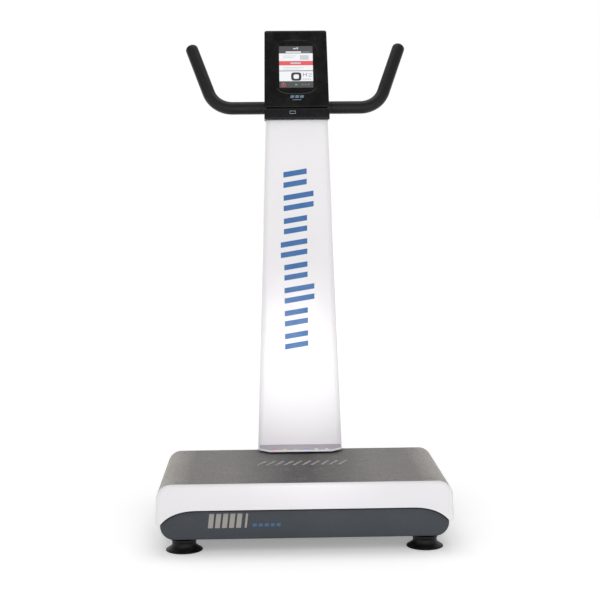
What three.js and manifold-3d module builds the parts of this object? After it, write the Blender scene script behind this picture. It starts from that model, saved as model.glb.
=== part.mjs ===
// Vibration plate: a see-saw platform driven by a motor, belt and eccentric crankshaft inside a
// base tub, with a column, a tilted console and a U-shaped handlebar.
// Millimetres, +Z up, the front toward -Y, the origin on the floor under the middle.
import * as THREE from 'three';
import { mergeVertices } from 'three/addons/utils/BufferGeometryUtils.js';
import Module from 'manifold-3d';

const wasm = await Module();
wasm.setup();

// ---------- driving dimensions ----------
const GAP = 0.3;                       // clearance between pieces that touch
const PLATE_WIDTH = 700;               // platform skirt at its flared lower edge
const OVERALL_DEPTH = 552;             // platform front to the back of the wheels
const PLATE_DEPTH = 413;
const PLATE_TOP = 166;                 // height of the tread surface
const SKIRT_FLARE = 2.5;               // each side widens by this much toward the lower edge
const SHOULDER_RADIUS = 35;
const SKIRT_WALL = 4;
const SKIRT_SIDE_BOTTOM = 74;
const SKIRT_FRONT_BOTTOM = 105;        // lower edge between the corners of the front band
const SKIRT_REAR_BOTTOM = 123;
const EDGE_ROUNDING = 7;               // front and rear edges of the platform
const ARCH_FLAT_INSET = 98;            // from each side to the level part of the front band's lower edge
const ARCH_PULL = 58;                  // how roundly that edge drops to the corners
const MAT_THICKNESS = 5;
const MAT_SIDE_EDGE = PLATE_TOP - 27;  // the mat ends here on both shoulders
const DECK_THICKNESS = 5;
const DECK_SIDE_INSET = 50;

const TUB_WIDTH = 680;
const TUB_BOTTOM = 32;
const TUB_TOP = 112;
const TUB_CORNER = 33;
const TUB_WALL = 4;
const TUB_FRONT_INSET = 13;
const TUB_REAR_INSET = 14;
const FRAME_THICKNESS = 5;
const DECK_COVER_TOP = 130;
const DECK_COVER_WALL = 3;
const PLATE_TO_COLUMN = 4;

const COLUMN_WIDTH_LOW = 225;
const COLUMN_WIDTH_HIGH = 161;
const COLUMN_DEPTH_LOW = 108;
const COLUMN_DEPTH_HIGH = 50;
const COLUMN_FRONT_DEPTH = 30;         // the front cover's share of the depth
const COLUMN_CORNER = 14;
const COVER_WALL = 3;
const MAST_WIDTH = 60;
const MAST_DEPTH = 24;
const MAST_WALL = 3;
const MAST_SETBACK = 19;               // column front face to the mast
const LIP_REACH = 75;
const LIP_CHAMFER = 28;
const LIP_THICKNESS = 8;
const LIP_CLEARANCE = 5;               // over the mat, which rises as it rocks
const INDICATORS = 6;

const CONSOLE_TILT = 21;               // degrees that the face leans back
const CONSOLE_BOTTOM = 1029;
const CONSOLE_LENGTH = 257;            // along the leaning face
const CONSOLE_WIDTH_LOW = 169;
const CONSOLE_WIDTH_HIGH = 163.5;
const CONSOLE_OVERHANG = 19;           // how far its foot stands in front of the column
const CONSOLE_DEPTH_LOW = 78;
const CONSOLE_DEPTH_HIGH = 34;
const CONSOLE_WALL = 3;
const FASCIA_DEPTH = 14;
const FASCIA_WALL = 4;
const BAND_HEIGHT = 32;                // lower band, below the groove
const BAND_DEPTH = 24;
const GROOVE = 2.6;
const SCREEN_WIDTH = 88;
const SCREEN_HEIGHT = 119;
const SCREEN_BOTTOM = 90;              // along the face, from the console's foot
const PORT_CENTRE = [-11, 20];         // charging port on the lower band
const PORT_WIDTH = 15.6;
const PORT_HEIGHT = 8.4;

const BAR_HEIGHT = 1062;
const BAR_SETBACK = 36.5;              // column front face to the handlebar's centre line
const BAR_CORNER_X = 214;
const BAR_BEND_RADIUS = 66;
const ARM_SPLAY = 20.8;                // degrees outward
const ARM_LEAN = 23;                   // degrees backward
const ARM_LENGTH = 182;
const BAR_RADIUS = 12.5;
const BAR_BORE = 10.5;
const GRIP_RADIUS = 16.5;
const GRIP_CLEARANCE = 0.9;            // between the bar and its sleeves and end plugs

const PIVOT_HEIGHT = 85;
const PIVOT_RADIUS = 12;
const BUSH_WALL = 3;
const CRANK_X = 115;
const CRANK_RADIUS = 12;
const CRANK_THROW = 2.5;
const ECCENTRIC_RADIUS = 20;
const STRAP_CLEARANCE = 2.2;           // open pivot of the rods, round the eccentrics
const ROD_BIG_END_X = CRANK_X + 0.75;
const ROD_WIDTH = 16;
const ROD_PIN_HEIGHT = 130;
const ROD_PIN_RADIUS = 7;
const MOTOR_X = -150;
const MOTOR_RADIUS = 44;
const MOTOR_LENGTH = 170;
const MOTOR_HEIGHT = 93;
const MOTOR_PULLEY_RADIUS = 16;
const CRANK_PULLEY_RADIUS = 32;
const BELT_WIDTH = 18;
const BELT_THICKNESS = 4;

const FOOT_X = 286;
const FOOT_FRONT_INSET = 50;
const FOOT_REAR_Y = 168;
const FOOT_RADIUS = 44;
const FOOT_NECK = 25;
const STUD_RADIUS = 6;
const WHEEL_X = 240;
const WHEEL_RADIUS = 30;
const WHEEL_WIDTH = 22;
const WHEEL_HEIGHT = 46;
const WHEEL_CLEARANCE = 4;             // between a wheel and its well
const AXLE_RADIUS = 4;
const AXLE_END = 3;                    // stands out of the well's wall

const INLET_X = 150;
const INLET_Z = 78;
const INLET_WIDTH = 74;
const INLET_HEIGHT = 38;
const INLET_RIM = 4;                   // how far its flange overlaps the tub
const CABLE_RADIUS = 2.5;

// ---------- places worked out from them ----------
const FRONT = -OVERALL_DEPTH / 2;
const BACK = OVERALL_DEPTH / 2;
const PLATE_BACK = FRONT + PLATE_DEPTH;
const COLUMN_FRONT = PLATE_BACK + PLATE_TO_COLUMN;
const COLUMN_SPLIT = COLUMN_FRONT + COLUMN_FRONT_DEPTH;
const TUB_FRONT = FRONT + TUB_FRONT_INSET;
const TUB_BACK = BACK - TUB_REAR_INSET;
const FRAME_BOTTOM = TUB_BOTTOM + TUB_WALL + GAP;
const FRAME_TOP = FRAME_BOTTOM + FRAME_THICKNESS;
const SKIRT_TOP = PLATE_TOP - MAT_THICKNESS - GAP;
const DECK_TOP = SKIRT_TOP - SKIRT_WALL - GAP;
const DECK_BOTTOM = DECK_TOP - DECK_THICKNESS;
const UNDER_DECK = DECK_BOTTOM - GAP;
const ON_FRAME = FRAME_TOP + GAP;
const MAST_FRONT = COLUMN_FRONT + MAST_SETBACK;
const MAST_BACK = MAST_FRONT + MAST_DEPTH;
const MAST_TOP = BAR_HEIGHT - BAR_RADIUS - 4.5;
const COLUMN_BOTTOM = DECK_COVER_TOP + GAP;
const BAR_Y = COLUMN_FRONT + BAR_SETBACK;
const CONSOLE_FOOT_Y = COLUMN_FRONT - CONSOLE_OVERHANG;
const TILT_RISE = Math.sin(THREE.MathUtils.degToRad(CONSOLE_TILT));
const TILT_RUN = Math.cos(THREE.MathUtils.degToRad(CONSOLE_TILT));
const COLUMN_TOP = CONSOLE_BOTTOM - GAP;

// stations along Y inside the base
const BELT_Y = FRONT + 51;
const STAND_YS = { front: FRONT + 76, rear: FRONT + 356 };
const HOUSING_YS = { front: FRONT + 141, rear: FRONT + 321 };
const ROD_YS = { front: FRONT + 111, rear: FRONT + 351 };
const PILLOW_YS = { front: FRONT + 81, rear: FRONT + 381 };

// ---------- materials ----------
function finish(color, roughness, metalness = 0) {
  return new THREE.MeshStandardMaterial({ color, roughness, metalness });
}
const whitePlastic = finish(0xf2f1f2, 0.35);
const slatePlastic = finish(0x4a5056, 0.5);
const treadRubber = finish(0x6a6866, 0.9);
const gripRubber = finish(0x2c2c2c, 0.85);
const footRubber = finish(0x1c1c1c, 0.75);
const glossBlack = finish(0x161616, 0.12);
const mattBlack = finish(0x1d1d1e, 0.6);
const paintedSteel = finish(0x3b3e42, 0.45, 0.6);
const brightSteel = finish(0xb8babd, 0.3, 1);
const castIron = finish(0x54575a, 0.6, 0.8);
const bronze = finish(0xa9814a, 0.35, 1);
const circuitGreen = finish(0x1f5a3a, 0.5);
const screenGlass = finish(0x101418, 0.05);
const lensPlastic = finish(0xd9cfe0, 0.25);
const cableBlack = finish(0x202020, 0.6);

// ---------- helpers ----------
const radians = THREE.MathUtils.degToRad;
const machine = new THREE.Group();
const consoleGroup = new THREE.Group();
consoleGroup.position.set(0, CONSOLE_FOOT_Y, CONSOLE_BOTTOM);
consoleGroup.rotation.x = radians(90 - CONSOLE_TILT);
machine.add(consoleGroup);

function part(name, geometry, material, parent = machine) {
  const mesh = new THREE.Mesh(geometry, material);
  mesh.name = name;
  parent.add(mesh);
  return mesh;
}

function solid(geometry) {
  const bare = geometry.clone();
  bare.deleteAttribute('normal');
  bare.deleteAttribute('uv');
  const merged = mergeVertices(bare, 1e-4);
  return new wasm.Manifold(new wasm.Mesh({
    numProp: 3,
    vertProperties: new Float32Array(merged.attributes.position.array),
    triVerts: new Uint32Array(merged.index.array),
  }));
}

function geometryOf(manifold) {
  const mesh = manifold.getMesh();
  const geometry = new THREE.BufferGeometry();
  geometry.setAttribute('position', new THREE.BufferAttribute(new Float32Array(mesh.vertProperties), 3));
  geometry.setIndex(new THREE.BufferAttribute(new Uint32Array(mesh.triVerts), 1));
  return geometry;
}

function joined(first, ...others) {
  return geometryOf(others.reduce((whole, other) => whole.add(solid(other)), solid(first)));
}

function cut(base, ...tools) {
  return geometryOf(tools.reduce((rest, tool) => rest.subtract(solid(tool)), solid(base)));
}

function common(first, second) {
  return geometryOf(solid(first).intersect(solid(second)));
}

function box(x0, x1, y0, y1, z0, z1) {
  const geometry = new THREE.BoxGeometry(x1 - x0, y1 - y0, z1 - z0);
  return geometry.translate((x0 + x1) / 2, (y0 + y1) / 2, (z0 + z1) / 2);
}

function cylinderX(radius, x0, x1, y, z, sides = 20) {
  const geometry = new THREE.CylinderGeometry(radius, radius, x1 - x0, sides);
  return geometry.rotateZ(Math.PI / 2).translate((x0 + x1) / 2, y, z);
}

function cylinderY(radius, y0, y1, x, z, sides = 20) {
  const geometry = new THREE.CylinderGeometry(radius, radius, y1 - y0, sides);
  return geometry.translate(x, (y0 + y1) / 2, z);
}

function cylinderZ(radius, z0, z1, x, y, sides = 20) {
  const geometry = new THREE.CylinderGeometry(radius, radius, z1 - z0, sides);
  return geometry.rotateX(Math.PI / 2).translate(x, y, (z0 + z1) / 2);
}

// An outline in X and Z, pushed along Y. A rounding eases both end edges inward.
function alongY(shape, y0, y1, rounding = 0, curveSegments = 5) {
  const geometry = new THREE.ExtrudeGeometry(shape, {
    depth: y1 - y0 - 2 * rounding,
    bevelEnabled: rounding > 0,
    bevelThickness: rounding,
    bevelSize: rounding,
    bevelOffset: -rounding,
    bevelSegments: 2,
    curveSegments,
  });
  return geometry.rotateX(Math.PI / 2).translate(0, y1 - rounding, 0);
}

// An outline in X and Y, pushed along Z, with the same rounding.
function alongZ(shape, z0, z1, rounding = 0, curveSegments = 2) {
  const geometry = new THREE.ExtrudeGeometry(shape, {
    depth: z1 - z0 - 2 * rounding,
    bevelEnabled: rounding > 0,
    bevelThickness: rounding,
    bevelSize: rounding,
    bevelOffset: -rounding,
    bevelSegments: 2,
    curveSegments,
  });
  return geometry.translate(0, 0, z0 + rounding);
}

// An outline in Y and Z, pushed along X.
function alongX(shape, x0, x1, curveSegments = 4) {
  const geometry = new THREE.ExtrudeGeometry(shape, {
    depth: x1 - x0, bevelEnabled: false, curveSegments,
  });
  const turn = new THREE.Matrix4().makeBasis(
    new THREE.Vector3(0, 1, 0), new THREE.Vector3(0, 0, 1), new THREE.Vector3(1, 0, 0));
  return geometry.applyMatrix4(turn).translate(x0, 0, 0);
}

function polygon(points) {
  return new THREE.Shape(points.map(([x, y]) => new THREE.Vector2(x, y)));
}

function roundedRectangle(x0, x1, y0, y1, radius) {
  const shape = new THREE.Shape();
  shape.moveTo(x0 + radius, y0);
  shape.lineTo(x1 - radius, y0);
  shape.absarc(x1 - radius, y0 + radius, radius, -Math.PI / 2, 0);
  shape.lineTo(x1, y1 - radius);
  shape.absarc(x1 - radius, y1 - radius, radius, 0, Math.PI / 2);
  shape.lineTo(x0 + radius, y1);
  shape.absarc(x0 + radius, y1 - radius, radius, Math.PI / 2, Math.PI);
  shape.lineTo(x0, y0 + radius);
  shape.absarc(x0 + radius, y0 + radius, radius, Math.PI, Math.PI * 1.5);
  return shape;
}

// Moves every point by a rule of its own place, for tapers.
function reshaped(geometry, rule) {
  const place = geometry.attributes.position;
  const point = new THREE.Vector3();
  for (let i = 0; i < place.count; i += 1) {
    point.fromBufferAttribute(place, i);
    rule(point);
    place.setXYZ(i, point.x, point.y, point.z);
  }
  return geometry;
}

function ringY(outer, inner, y0, y1, x, z, sides = 24) {
  return cut(cylinderY(outer, y0, y1, x, z, sides), cylinderY(inner, y0 - 1, y1 + 1, x, z, sides));
}

// ---------- platform: skirt, mat and steel deck ----------
function platformOutline(inset) {
  const low = PLATE_WIDTH / 2 - inset;
  const high = low - SKIRT_FLARE;
  const radius = SHOULDER_RADIUS - inset;
  const shape = new THREE.Shape();
  shape.moveTo(-low, SKIRT_SIDE_BOTTOM);
  shape.lineTo(low, SKIRT_SIDE_BOTTOM);
  shape.lineTo(high, PLATE_TOP - SHOULDER_RADIUS);
  shape.absarc(high - radius, PLATE_TOP - SHOULDER_RADIUS, radius, 0, Math.PI / 2);
  shape.lineTo(-high + radius, PLATE_TOP - inset);
  shape.absarc(-high + radius, PLATE_TOP - SHOULDER_RADIUS, radius, Math.PI / 2, Math.PI);
  return shape;
}

function matBand(clearance) {
  const shell = cut(
    alongY(platformOutline(-2), FRONT + EDGE_ROUNDING + 1 - clearance, PLATE_BACK - 3 + clearance),
    alongY(platformOutline(MAT_THICKNESS + clearance), FRONT - 5, PLATE_BACK + 5));
  const wide = PLATE_WIDTH;
  return common(shell, box(-wide, wide, FRONT, PLATE_BACK, MAT_SIDE_EDGE - clearance, PLATE_TOP + 10));
}

function archedOpening() {
  const side = PLATE_WIDTH / 2 - EDGE_ROUNDING;
  const flat = PLATE_WIDTH / 2 - ARCH_FLAT_INSET;
  const shape = new THREE.Shape();
  shape.moveTo(-side, SKIRT_SIDE_BOTTOM - 5);
  shape.lineTo(side, SKIRT_SIDE_BOTTOM - 5);
  shape.lineTo(side, SKIRT_SIDE_BOTTOM + 1);
  shape.quadraticCurveTo(flat + ARCH_PULL, SKIRT_FRONT_BOTTOM, flat, SKIRT_FRONT_BOTTOM);
  shape.lineTo(-flat, SKIRT_FRONT_BOTTOM);
  shape.quadraticCurveTo(-flat - ARCH_PULL, SKIRT_FRONT_BOTTOM, -side, SKIRT_SIDE_BOTTOM + 1);
  return alongY(shape, FRONT - 5, FRONT + SKIRT_WALL + 20);
}

function makePlatform() {
  const outside = alongY(platformOutline(0), FRONT, PLATE_BACK, EDGE_ROUNDING);
  const mat = common(outside, matBand(0));
  const wide = PLATE_WIDTH;
  const inside = common(
    alongY(platformOutline(SKIRT_WALL), FRONT + SKIRT_WALL, PLATE_BACK - SKIRT_WALL),
    box(-wide, wide, FRONT, BACK, 0, SKIRT_TOP - SKIRT_WALL));
  const underRim = alongY(platformOutline(MAT_THICKNESS + GAP + SKIRT_WALL), FRONT + SKIRT_WALL,
    PLATE_BACK - SKIRT_WALL);
  const belowMat = joined(
    common(inside, box(-wide, wide, FRONT, BACK, 0, MAT_SIDE_EDGE - SKIRT_WALL)), underRim);
  const rearOpening = box(-wide / 2 + EDGE_ROUNDING, wide / 2 - EDGE_ROUNDING,
    PLATE_BACK - SKIRT_WALL - 20, PLATE_BACK + 5, 0, SKIRT_REAR_BOTTOM);
  const openBelow = box(-wide / 2 + SKIRT_WALL, wide / 2 - SKIRT_WALL, FRONT + SKIRT_WALL,
    PLATE_BACK - SKIRT_WALL, 0, SKIRT_SIDE_BOTTOM + 1);
  part('platform_skirt',
    cut(outside, matBand(GAP), belowMat, openBelow, archedOpening(), rearOpening), whitePlastic);
  part('tread_mat', mat, treadRubber);
  const deckSide = PLATE_WIDTH / 2 - DECK_SIDE_INSET;
  part('deck_plate', alongZ(roundedRectangle(-deckSide, deckSide, FRONT + 16, PLATE_BACK - 12, 12),
    DECK_BOTTOM, DECK_TOP), paintedSteel);
}

// ---------- base: tub, frame plate and rear deck cover ----------
function tubOutline(inset) {
  const side = TUB_WIDTH / 2 - inset;
  const radius = TUB_CORNER - inset;
  const bottom = TUB_BOTTOM + inset;
  const shape = new THREE.Shape();
  shape.moveTo(side, TUB_TOP + inset * 2);
  shape.lineTo(-side, TUB_TOP + inset * 2);
  shape.lineTo(-side, bottom + radius);
  shape.absarc(-side + radius, bottom + radius, radius, Math.PI, Math.PI * 1.5);
  shape.lineTo(side - radius, bottom);
  shape.absarc(side - radius, bottom + radius, radius, Math.PI * 1.5, Math.PI * 2);
  return shape;
}

function wheelWell(side, wall) {
  const reach = WHEEL_CLEARANCE + wall;
  const half = WHEEL_WIDTH / 2 + reach;
  const centre = side * WHEEL_X;
  return box(centre - half, centre + half, BACK - 2 * WHEEL_RADIUS - reach, BACK + 5, 0,
    WHEEL_HEIGHT + WHEEL_RADIUS + reach);
}

function wheelAxleHalf() {
  return WHEEL_WIDTH / 2 + WHEEL_CLEARANCE + TUB_WALL + AXLE_END;
}

function makeBase() {
  const outside = alongY(tubOutline(0), TUB_FRONT, TUB_BACK, 5);
  const inside = cut(alongY(tubOutline(TUB_WALL), TUB_FRONT + TUB_WALL, TUB_BACK - TUB_WALL),
    wheelWell(-1, TUB_WALL), wheelWell(1, TUB_WALL));
  const holes = [];
  for (const side of [-1, 1]) {
    holes.push(wheelWell(side, 0));
    const past = wheelAxleHalf() + 10;
    holes.push(cylinderX(AXLE_RADIUS + GAP, side * WHEEL_X - past, side * WHEEL_X + past,
      BACK - WHEEL_RADIUS, WHEEL_HEIGHT, 16));
    for (const y of [FRONT + FOOT_FRONT_INSET, FOOT_REAR_Y]) {
      holes.push(cylinderZ(STUD_RADIUS + 1, 0, FRAME_TOP, side * FOOT_X, y, 16));
    }
  }
  const openHalf = INLET_WIDTH / 2 - INLET_RIM;
  const openHigh = INLET_HEIGHT / 2 - INLET_RIM;
  holes.push(box(INLET_X - openHalf, INLET_X + openHalf, TUB_BACK - 20, TUB_BACK + 5,
    INLET_Z - openHigh, INLET_Z + openHigh));
  part('base_tub', cut(outside, inside, ...holes), slatePlastic);

  const side = TUB_WIDTH / 2 - TUB_CORNER - 2;
  const plate = alongZ(polygon([
    [-side, TUB_FRONT + 14], [side, TUB_FRONT + 14], [side, FOOT_REAR_Y + 26], [130, FOOT_REAR_Y + 26],
    [130, TUB_BACK - 10], [-130, TUB_BACK - 10], [-130, FOOT_REAR_Y + 26], [-side, FOOT_REAR_Y + 26],
  ]), FRAME_BOTTOM, FRAME_TOP);
  const studs = [-1, 1].flatMap((s) => [FRONT + FOOT_FRONT_INSET, FOOT_REAR_Y].map(
    (y) => cylinderZ(STUD_RADIUS + GAP, 0, FRAME_TOP + 5, s * FOOT_X, y, 16)));
  part('base_frame_plate', cut(plate, ...studs), paintedSteel);

  const half = TUB_WIDTH / 2;
  const coverOutside = alongZ(roundedRectangle(-half, half, COLUMN_FRONT, TUB_BACK, 8),
    TUB_TOP + GAP, DECK_COVER_TOP, 3);
  const coverInside = box(-half + DECK_COVER_WALL, half - DECK_COVER_WALL, COLUMN_FRONT + DECK_COVER_WALL,
    TUB_BACK - DECK_COVER_WALL, TUB_TOP - 5, DECK_COVER_TOP - DECK_COVER_WALL);
  const mastHole = box(-MAST_WIDTH / 2 - 3, MAST_WIDTH / 2 + 24, MAST_FRONT - 3, MAST_BACK + 3, 0, 200);
  part('rear_deck_cover', cut(coverOutside, coverInside, mastHole), slatePlastic);
}

// ---------- column: mast, covers, foot lip and indicator lens ----------
function columnShare(z) {
  return (z - COLUMN_BOTTOM) / (CONSOLE_BOTTOM - COLUMN_BOTTOM);
}

function channel(width, front, back, corner, wall) {
  const side = width / 2;
  const shape = new THREE.Shape();
  shape.moveTo(side, back);
  shape.lineTo(side - wall, back);
  shape.lineTo(side - wall, front + corner);
  shape.absarc(side - corner, front + corner, corner - wall, 0, -Math.PI / 2, true);
  shape.lineTo(-side + corner, front + wall);
  shape.absarc(-side + corner, front + corner, corner - wall, -Math.PI / 2, -Math.PI, true);
  shape.lineTo(-side + wall, back);
  shape.lineTo(-side, back);
  shape.lineTo(-side, front + corner);
  shape.absarc(-side + corner, front + corner, corner, Math.PI, Math.PI * 1.5);
  shape.lineTo(side - corner, front);
  shape.absarc(side - corner, front + corner, corner, -Math.PI / 2, 0);
  return shape;
}

function makeColumn() {
  const mastOutline = polygon([
    [-MAST_WIDTH / 2, MAST_FRONT], [MAST_WIDTH / 2, MAST_FRONT],
    [MAST_WIDTH / 2, MAST_BACK], [-MAST_WIDTH / 2, MAST_BACK],
  ]);
  mastOutline.holes.push(new THREE.Path([
    new THREE.Vector2(-MAST_WIDTH / 2 + MAST_WALL, MAST_FRONT + MAST_WALL),
    new THREE.Vector2(MAST_WIDTH / 2 - MAST_WALL, MAST_FRONT + MAST_WALL),
    new THREE.Vector2(MAST_WIDTH / 2 - MAST_WALL, MAST_BACK - MAST_WALL),
    new THREE.Vector2(-MAST_WIDTH / 2 + MAST_WALL, MAST_BACK - MAST_WALL),
  ]));
  const flange = box(-75, 75, MAST_FRONT - 28, MAST_BACK + 28, ON_FRAME, ON_FRAME + 8);
  part('column_mast', joined(alongZ(mastOutline, ON_FRAME + 7, MAST_TOP), flange), paintedSteel);

  const narrowing = 1 - COLUMN_WIDTH_HIGH / COLUMN_WIDTH_LOW;
  const front = reshaped(
    alongZ(channel(COLUMN_WIDTH_LOW, COLUMN_FRONT, COLUMN_SPLIT, COLUMN_CORNER, COVER_WALL),
      COLUMN_BOTTOM, COLUMN_TOP),
    (p) => p.setX(p.x * (1 - narrowing * columnShare(p.z))));
  part('column_front_cover', front, whitePlastic);

  const mirrored = channel(COLUMN_WIDTH_LOW, -COLUMN_FRONT - COLUMN_DEPTH_LOW, -COLUMN_SPLIT - GAP,
    COLUMN_CORNER, COVER_WALL);
  const shallowing = 1 - (COLUMN_DEPTH_HIGH - COLUMN_FRONT_DEPTH) / (COLUMN_DEPTH_LOW - COLUMN_FRONT_DEPTH);
  const rear = reshaped(alongZ(mirrored, COLUMN_BOTTOM, COLUMN_TOP).rotateZ(Math.PI), (p) => {
    p.setX(p.x * (1 - narrowing * columnShare(p.z)));
    p.setY(COLUMN_SPLIT + GAP + (p.y - COLUMN_SPLIT - GAP) * (1 - shallowing * columnShare(p.z)));
  });
  part('column_rear_cover', rear, whitePlastic);

  const half = COLUMN_WIDTH_LOW / 2 - 3;
  const lipFront = COLUMN_FRONT - LIP_REACH;
  const lipBack = COLUMN_FRONT - GAP;
  const lipBottom = PLATE_TOP + LIP_CLEARANCE;
  const lipOutline = polygon([
    [-half, lipBack], [-half, lipFront + LIP_CHAMFER], [-half + LIP_CHAMFER, lipFront],
    [half - LIP_CHAMFER, lipFront], [half, lipFront + LIP_CHAMFER], [half, lipBack],
  ]);
  const pitch = (2 * half - 2 * LIP_CHAMFER) / INDICATORS;
  const stripHalf = pitch * (INDICATORS - 0.4) / 2;
  const slotCentre = lipFront + 11;
  const slot = box(-stripHalf - GAP, stripHalf + GAP, slotCentre - 3 - GAP, slotCentre + 3 + GAP,
    lipBottom + LIP_THICKNESS - 2 - GAP, lipBottom + 30);
  part('column_foot_lip', cut(alongZ(lipOutline, lipBottom, lipBottom + LIP_THICKNESS, 1.5), slot),
    whitePlastic);
  part('indicator_lens_strip', box(-stripHalf, stripHalf, slotCentre - 3, slotCentre + 3,
    lipBottom + LIP_THICKNESS - 2, lipBottom + LIP_THICKNESS + 0.2), lensPlastic);
}

// ---------- console, in its own leaning frame: x across, y up the face, z out of it ----------
function taperAt(v) {
  return 1 - (1 - CONSOLE_WIDTH_HIGH / CONSOLE_WIDTH_LOW) * v / CONSOLE_LENGTH;
}

function consoleTaper(geometry) {
  return reshaped(geometry, (p) => p.setX(p.x * taperAt(p.y)));
}

// The console's underside is level: how far up the face it lies at a depth, with a wall on top of it.
function underside(depth, wall = 0) {
  return (wall - depth * TILT_RISE) / TILT_RUN;
}

function makeConsole() {
  const side = CONSOLE_WIDTH_LOW / 2;
  const fasciaBottom = BAND_HEIGHT + GROOVE;
  const fasciaOutside = alongZ(roundedRectangle(-side, side, fasciaBottom, CONSOLE_LENGTH, 6),
    -FASCIA_DEPTH, 0, 3);
  const fasciaInside = box(-side + CONSOLE_WALL + 1, side - CONSOLE_WALL - 1, fasciaBottom + CONSOLE_WALL,
    CONSOLE_LENGTH - CONSOLE_WALL - 1, -FASCIA_DEPTH - 5, -FASCIA_WALL);
  const screenTop = SCREEN_BOTTOM + SCREEN_HEIGHT;
  const screenSide = SCREEN_WIDTH / 2;
  const window = box(-screenSide - GAP, screenSide + GAP, SCREEN_BOTTOM - GAP, screenTop + GAP, -10, 10);
  part('console_fascia', consoleTaper(cut(fasciaOutside, fasciaInside, window)), glossBlack, consoleGroup);
  const glassSide = (screenSide + GAP) * taperAt(screenTop) - GAP;
  part('display_glass', box(-glassSide, glassSide, SCREEN_BOTTOM, screenTop,
    -FASCIA_WALL + GAP, -0.8), screenGlass, consoleGroup);
  part('display_module', box(-glassSide - 4, glassSide + 4, SCREEN_BOTTOM - 4, screenTop + 4,
    -FASCIA_DEPTH + 1, -FASCIA_WALL - GAP), mattBlack, consoleGroup);
  part('console_circuit_board', box(-62, 62, SCREEN_BOTTOM - 8, screenTop + 8,
    -FASCIA_DEPTH - 4, -FASCIA_DEPTH - 2.4), circuitGreen, consoleGroup);

  const shellFront = -FASCIA_DEPTH - GAP;
  const shellStep = -BAND_DEPTH - GAP;
  const outline = polygon([
    [fasciaBottom, shellFront], [fasciaBottom, shellStep], [underside(shellStep), shellStep],
    [underside(-CONSOLE_DEPTH_LOW), -CONSOLE_DEPTH_LOW], [62, -CONSOLE_DEPTH_LOW],
    [CONSOLE_LENGTH - 8, -CONSOLE_DEPTH_HIGH],
    [CONSOLE_LENGTH, -CONSOLE_DEPTH_HIGH + 8], [CONSOLE_LENGTH, shellFront],
  ]);
  const w = CONSOLE_WALL;
  const hollow = polygon([
    [w, 5], [underside(shellStep, w), shellStep],
    [underside(-CONSOLE_DEPTH_LOW + w, w), -CONSOLE_DEPTH_LOW + w], [61, -CONSOLE_DEPTH_LOW + w],
    [CONSOLE_LENGTH - 9.5, -CONSOLE_DEPTH_HIGH + w], [CONSOLE_LENGTH - w, -CONSOLE_DEPTH_HIGH + 9.5],
    [CONSOLE_LENGTH - w, 5],
  ]);
  const barV = barInConsole();
  const shell = cut(
    alongX(outline, -side, side), alongX(hollow, -side + w, side - w),
    cylinderX(BAR_RADIUS + 1, -side - 10, side + 10, barV.y, barV.z, 20),
    box(-MAST_WIDTH / 2 - 4, MAST_WIDTH / 2 + 24, -10, BAND_HEIGHT,
      -CONSOLE_DEPTH_LOW + 8, -BAND_DEPTH - 5));
  part('console_back_shell', consoleTaper(shell), mattBlack, consoleGroup);

  const band = new THREE.Shape();
  band.moveTo(underside(-BAND_DEPTH), -BAND_DEPTH);
  band.lineTo(BAND_HEIGHT, -BAND_DEPTH);
  band.lineTo(BAND_HEIGHT, -4);
  band.quadraticCurveTo(BAND_HEIGHT, 0, BAND_HEIGHT - 4, 0);
  band.lineTo(8, 0);
  band.quadraticCurveTo(0, 0, underside(-8), -8);
  const bandHollow = alongX(polygon([
    [underside(-w, w), -w], [underside(-BAND_DEPTH - 5, w), -BAND_DEPTH - 5],
    [BAND_HEIGHT - w, -BAND_DEPTH - 5], [BAND_HEIGHT - w, -w],
  ]), -side + w, side - w);
  const [portX, portV] = PORT_CENTRE;
  const portHole = box(portX - PORT_WIDTH / 2 - GAP, portX + PORT_WIDTH / 2 + GAP,
    portV - PORT_HEIGHT / 2 - GAP, portV + PORT_HEIGHT / 2 + GAP, -10, 5);
  part('console_lower_band', consoleTaper(cut(alongX(band, -side, side), bandHollow, portHole)),
    glossBlack, consoleGroup);
  const portX0 = portX * taperAt(portV);
  part('charging_port', cut(
    box(portX0 - PORT_WIDTH / 2, portX0 + PORT_WIDTH / 2, portV - PORT_HEIGHT / 2, portV + PORT_HEIGHT / 2,
      -16, 0.6),
    box(portX0 - PORT_WIDTH / 2 + 1, portX0 + PORT_WIDTH / 2 - 1, portV - PORT_HEIGHT / 2 + 1,
      portV + PORT_HEIGHT / 2 - 1, -12, 5)), brightSteel, consoleGroup);
}

function barInConsole() {
  machine.updateMatrixWorld(true);
  return consoleGroup.worldToLocal(new THREE.Vector3(0, BAR_Y, BAR_HEIGHT));
}

// ---------- handlebar ----------
class Bend extends THREE.Curve {
  constructor(centre, from, ahead, radius, angle) {
    super();
    Object.assign(this, { centre, from, ahead, radius, angle });
  }

  getPoint(t, target = new THREE.Vector3()) {
    const a = this.angle * t;
    return target.copy(this.centre)
      .addScaledVector(this.from, this.radius * Math.cos(a))
      .addScaledVector(this.ahead, this.radius * Math.sin(a));
  }
}

const barMiddle = new THREE.Vector3(0, BAR_Y, BAR_HEIGHT);

function armDirection(side) {
  return new THREE.Vector3(side * Math.tan(radians(ARM_SPLAY)), Math.tan(radians(ARM_LEAN)), 1).normalize();
}

function armEnd(side) {
  return barMiddle.clone().add(new THREE.Vector3(side * BAR_CORNER_X, 0, 0))
    .addScaledVector(armDirection(side), ARM_LENGTH);
}

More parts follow.
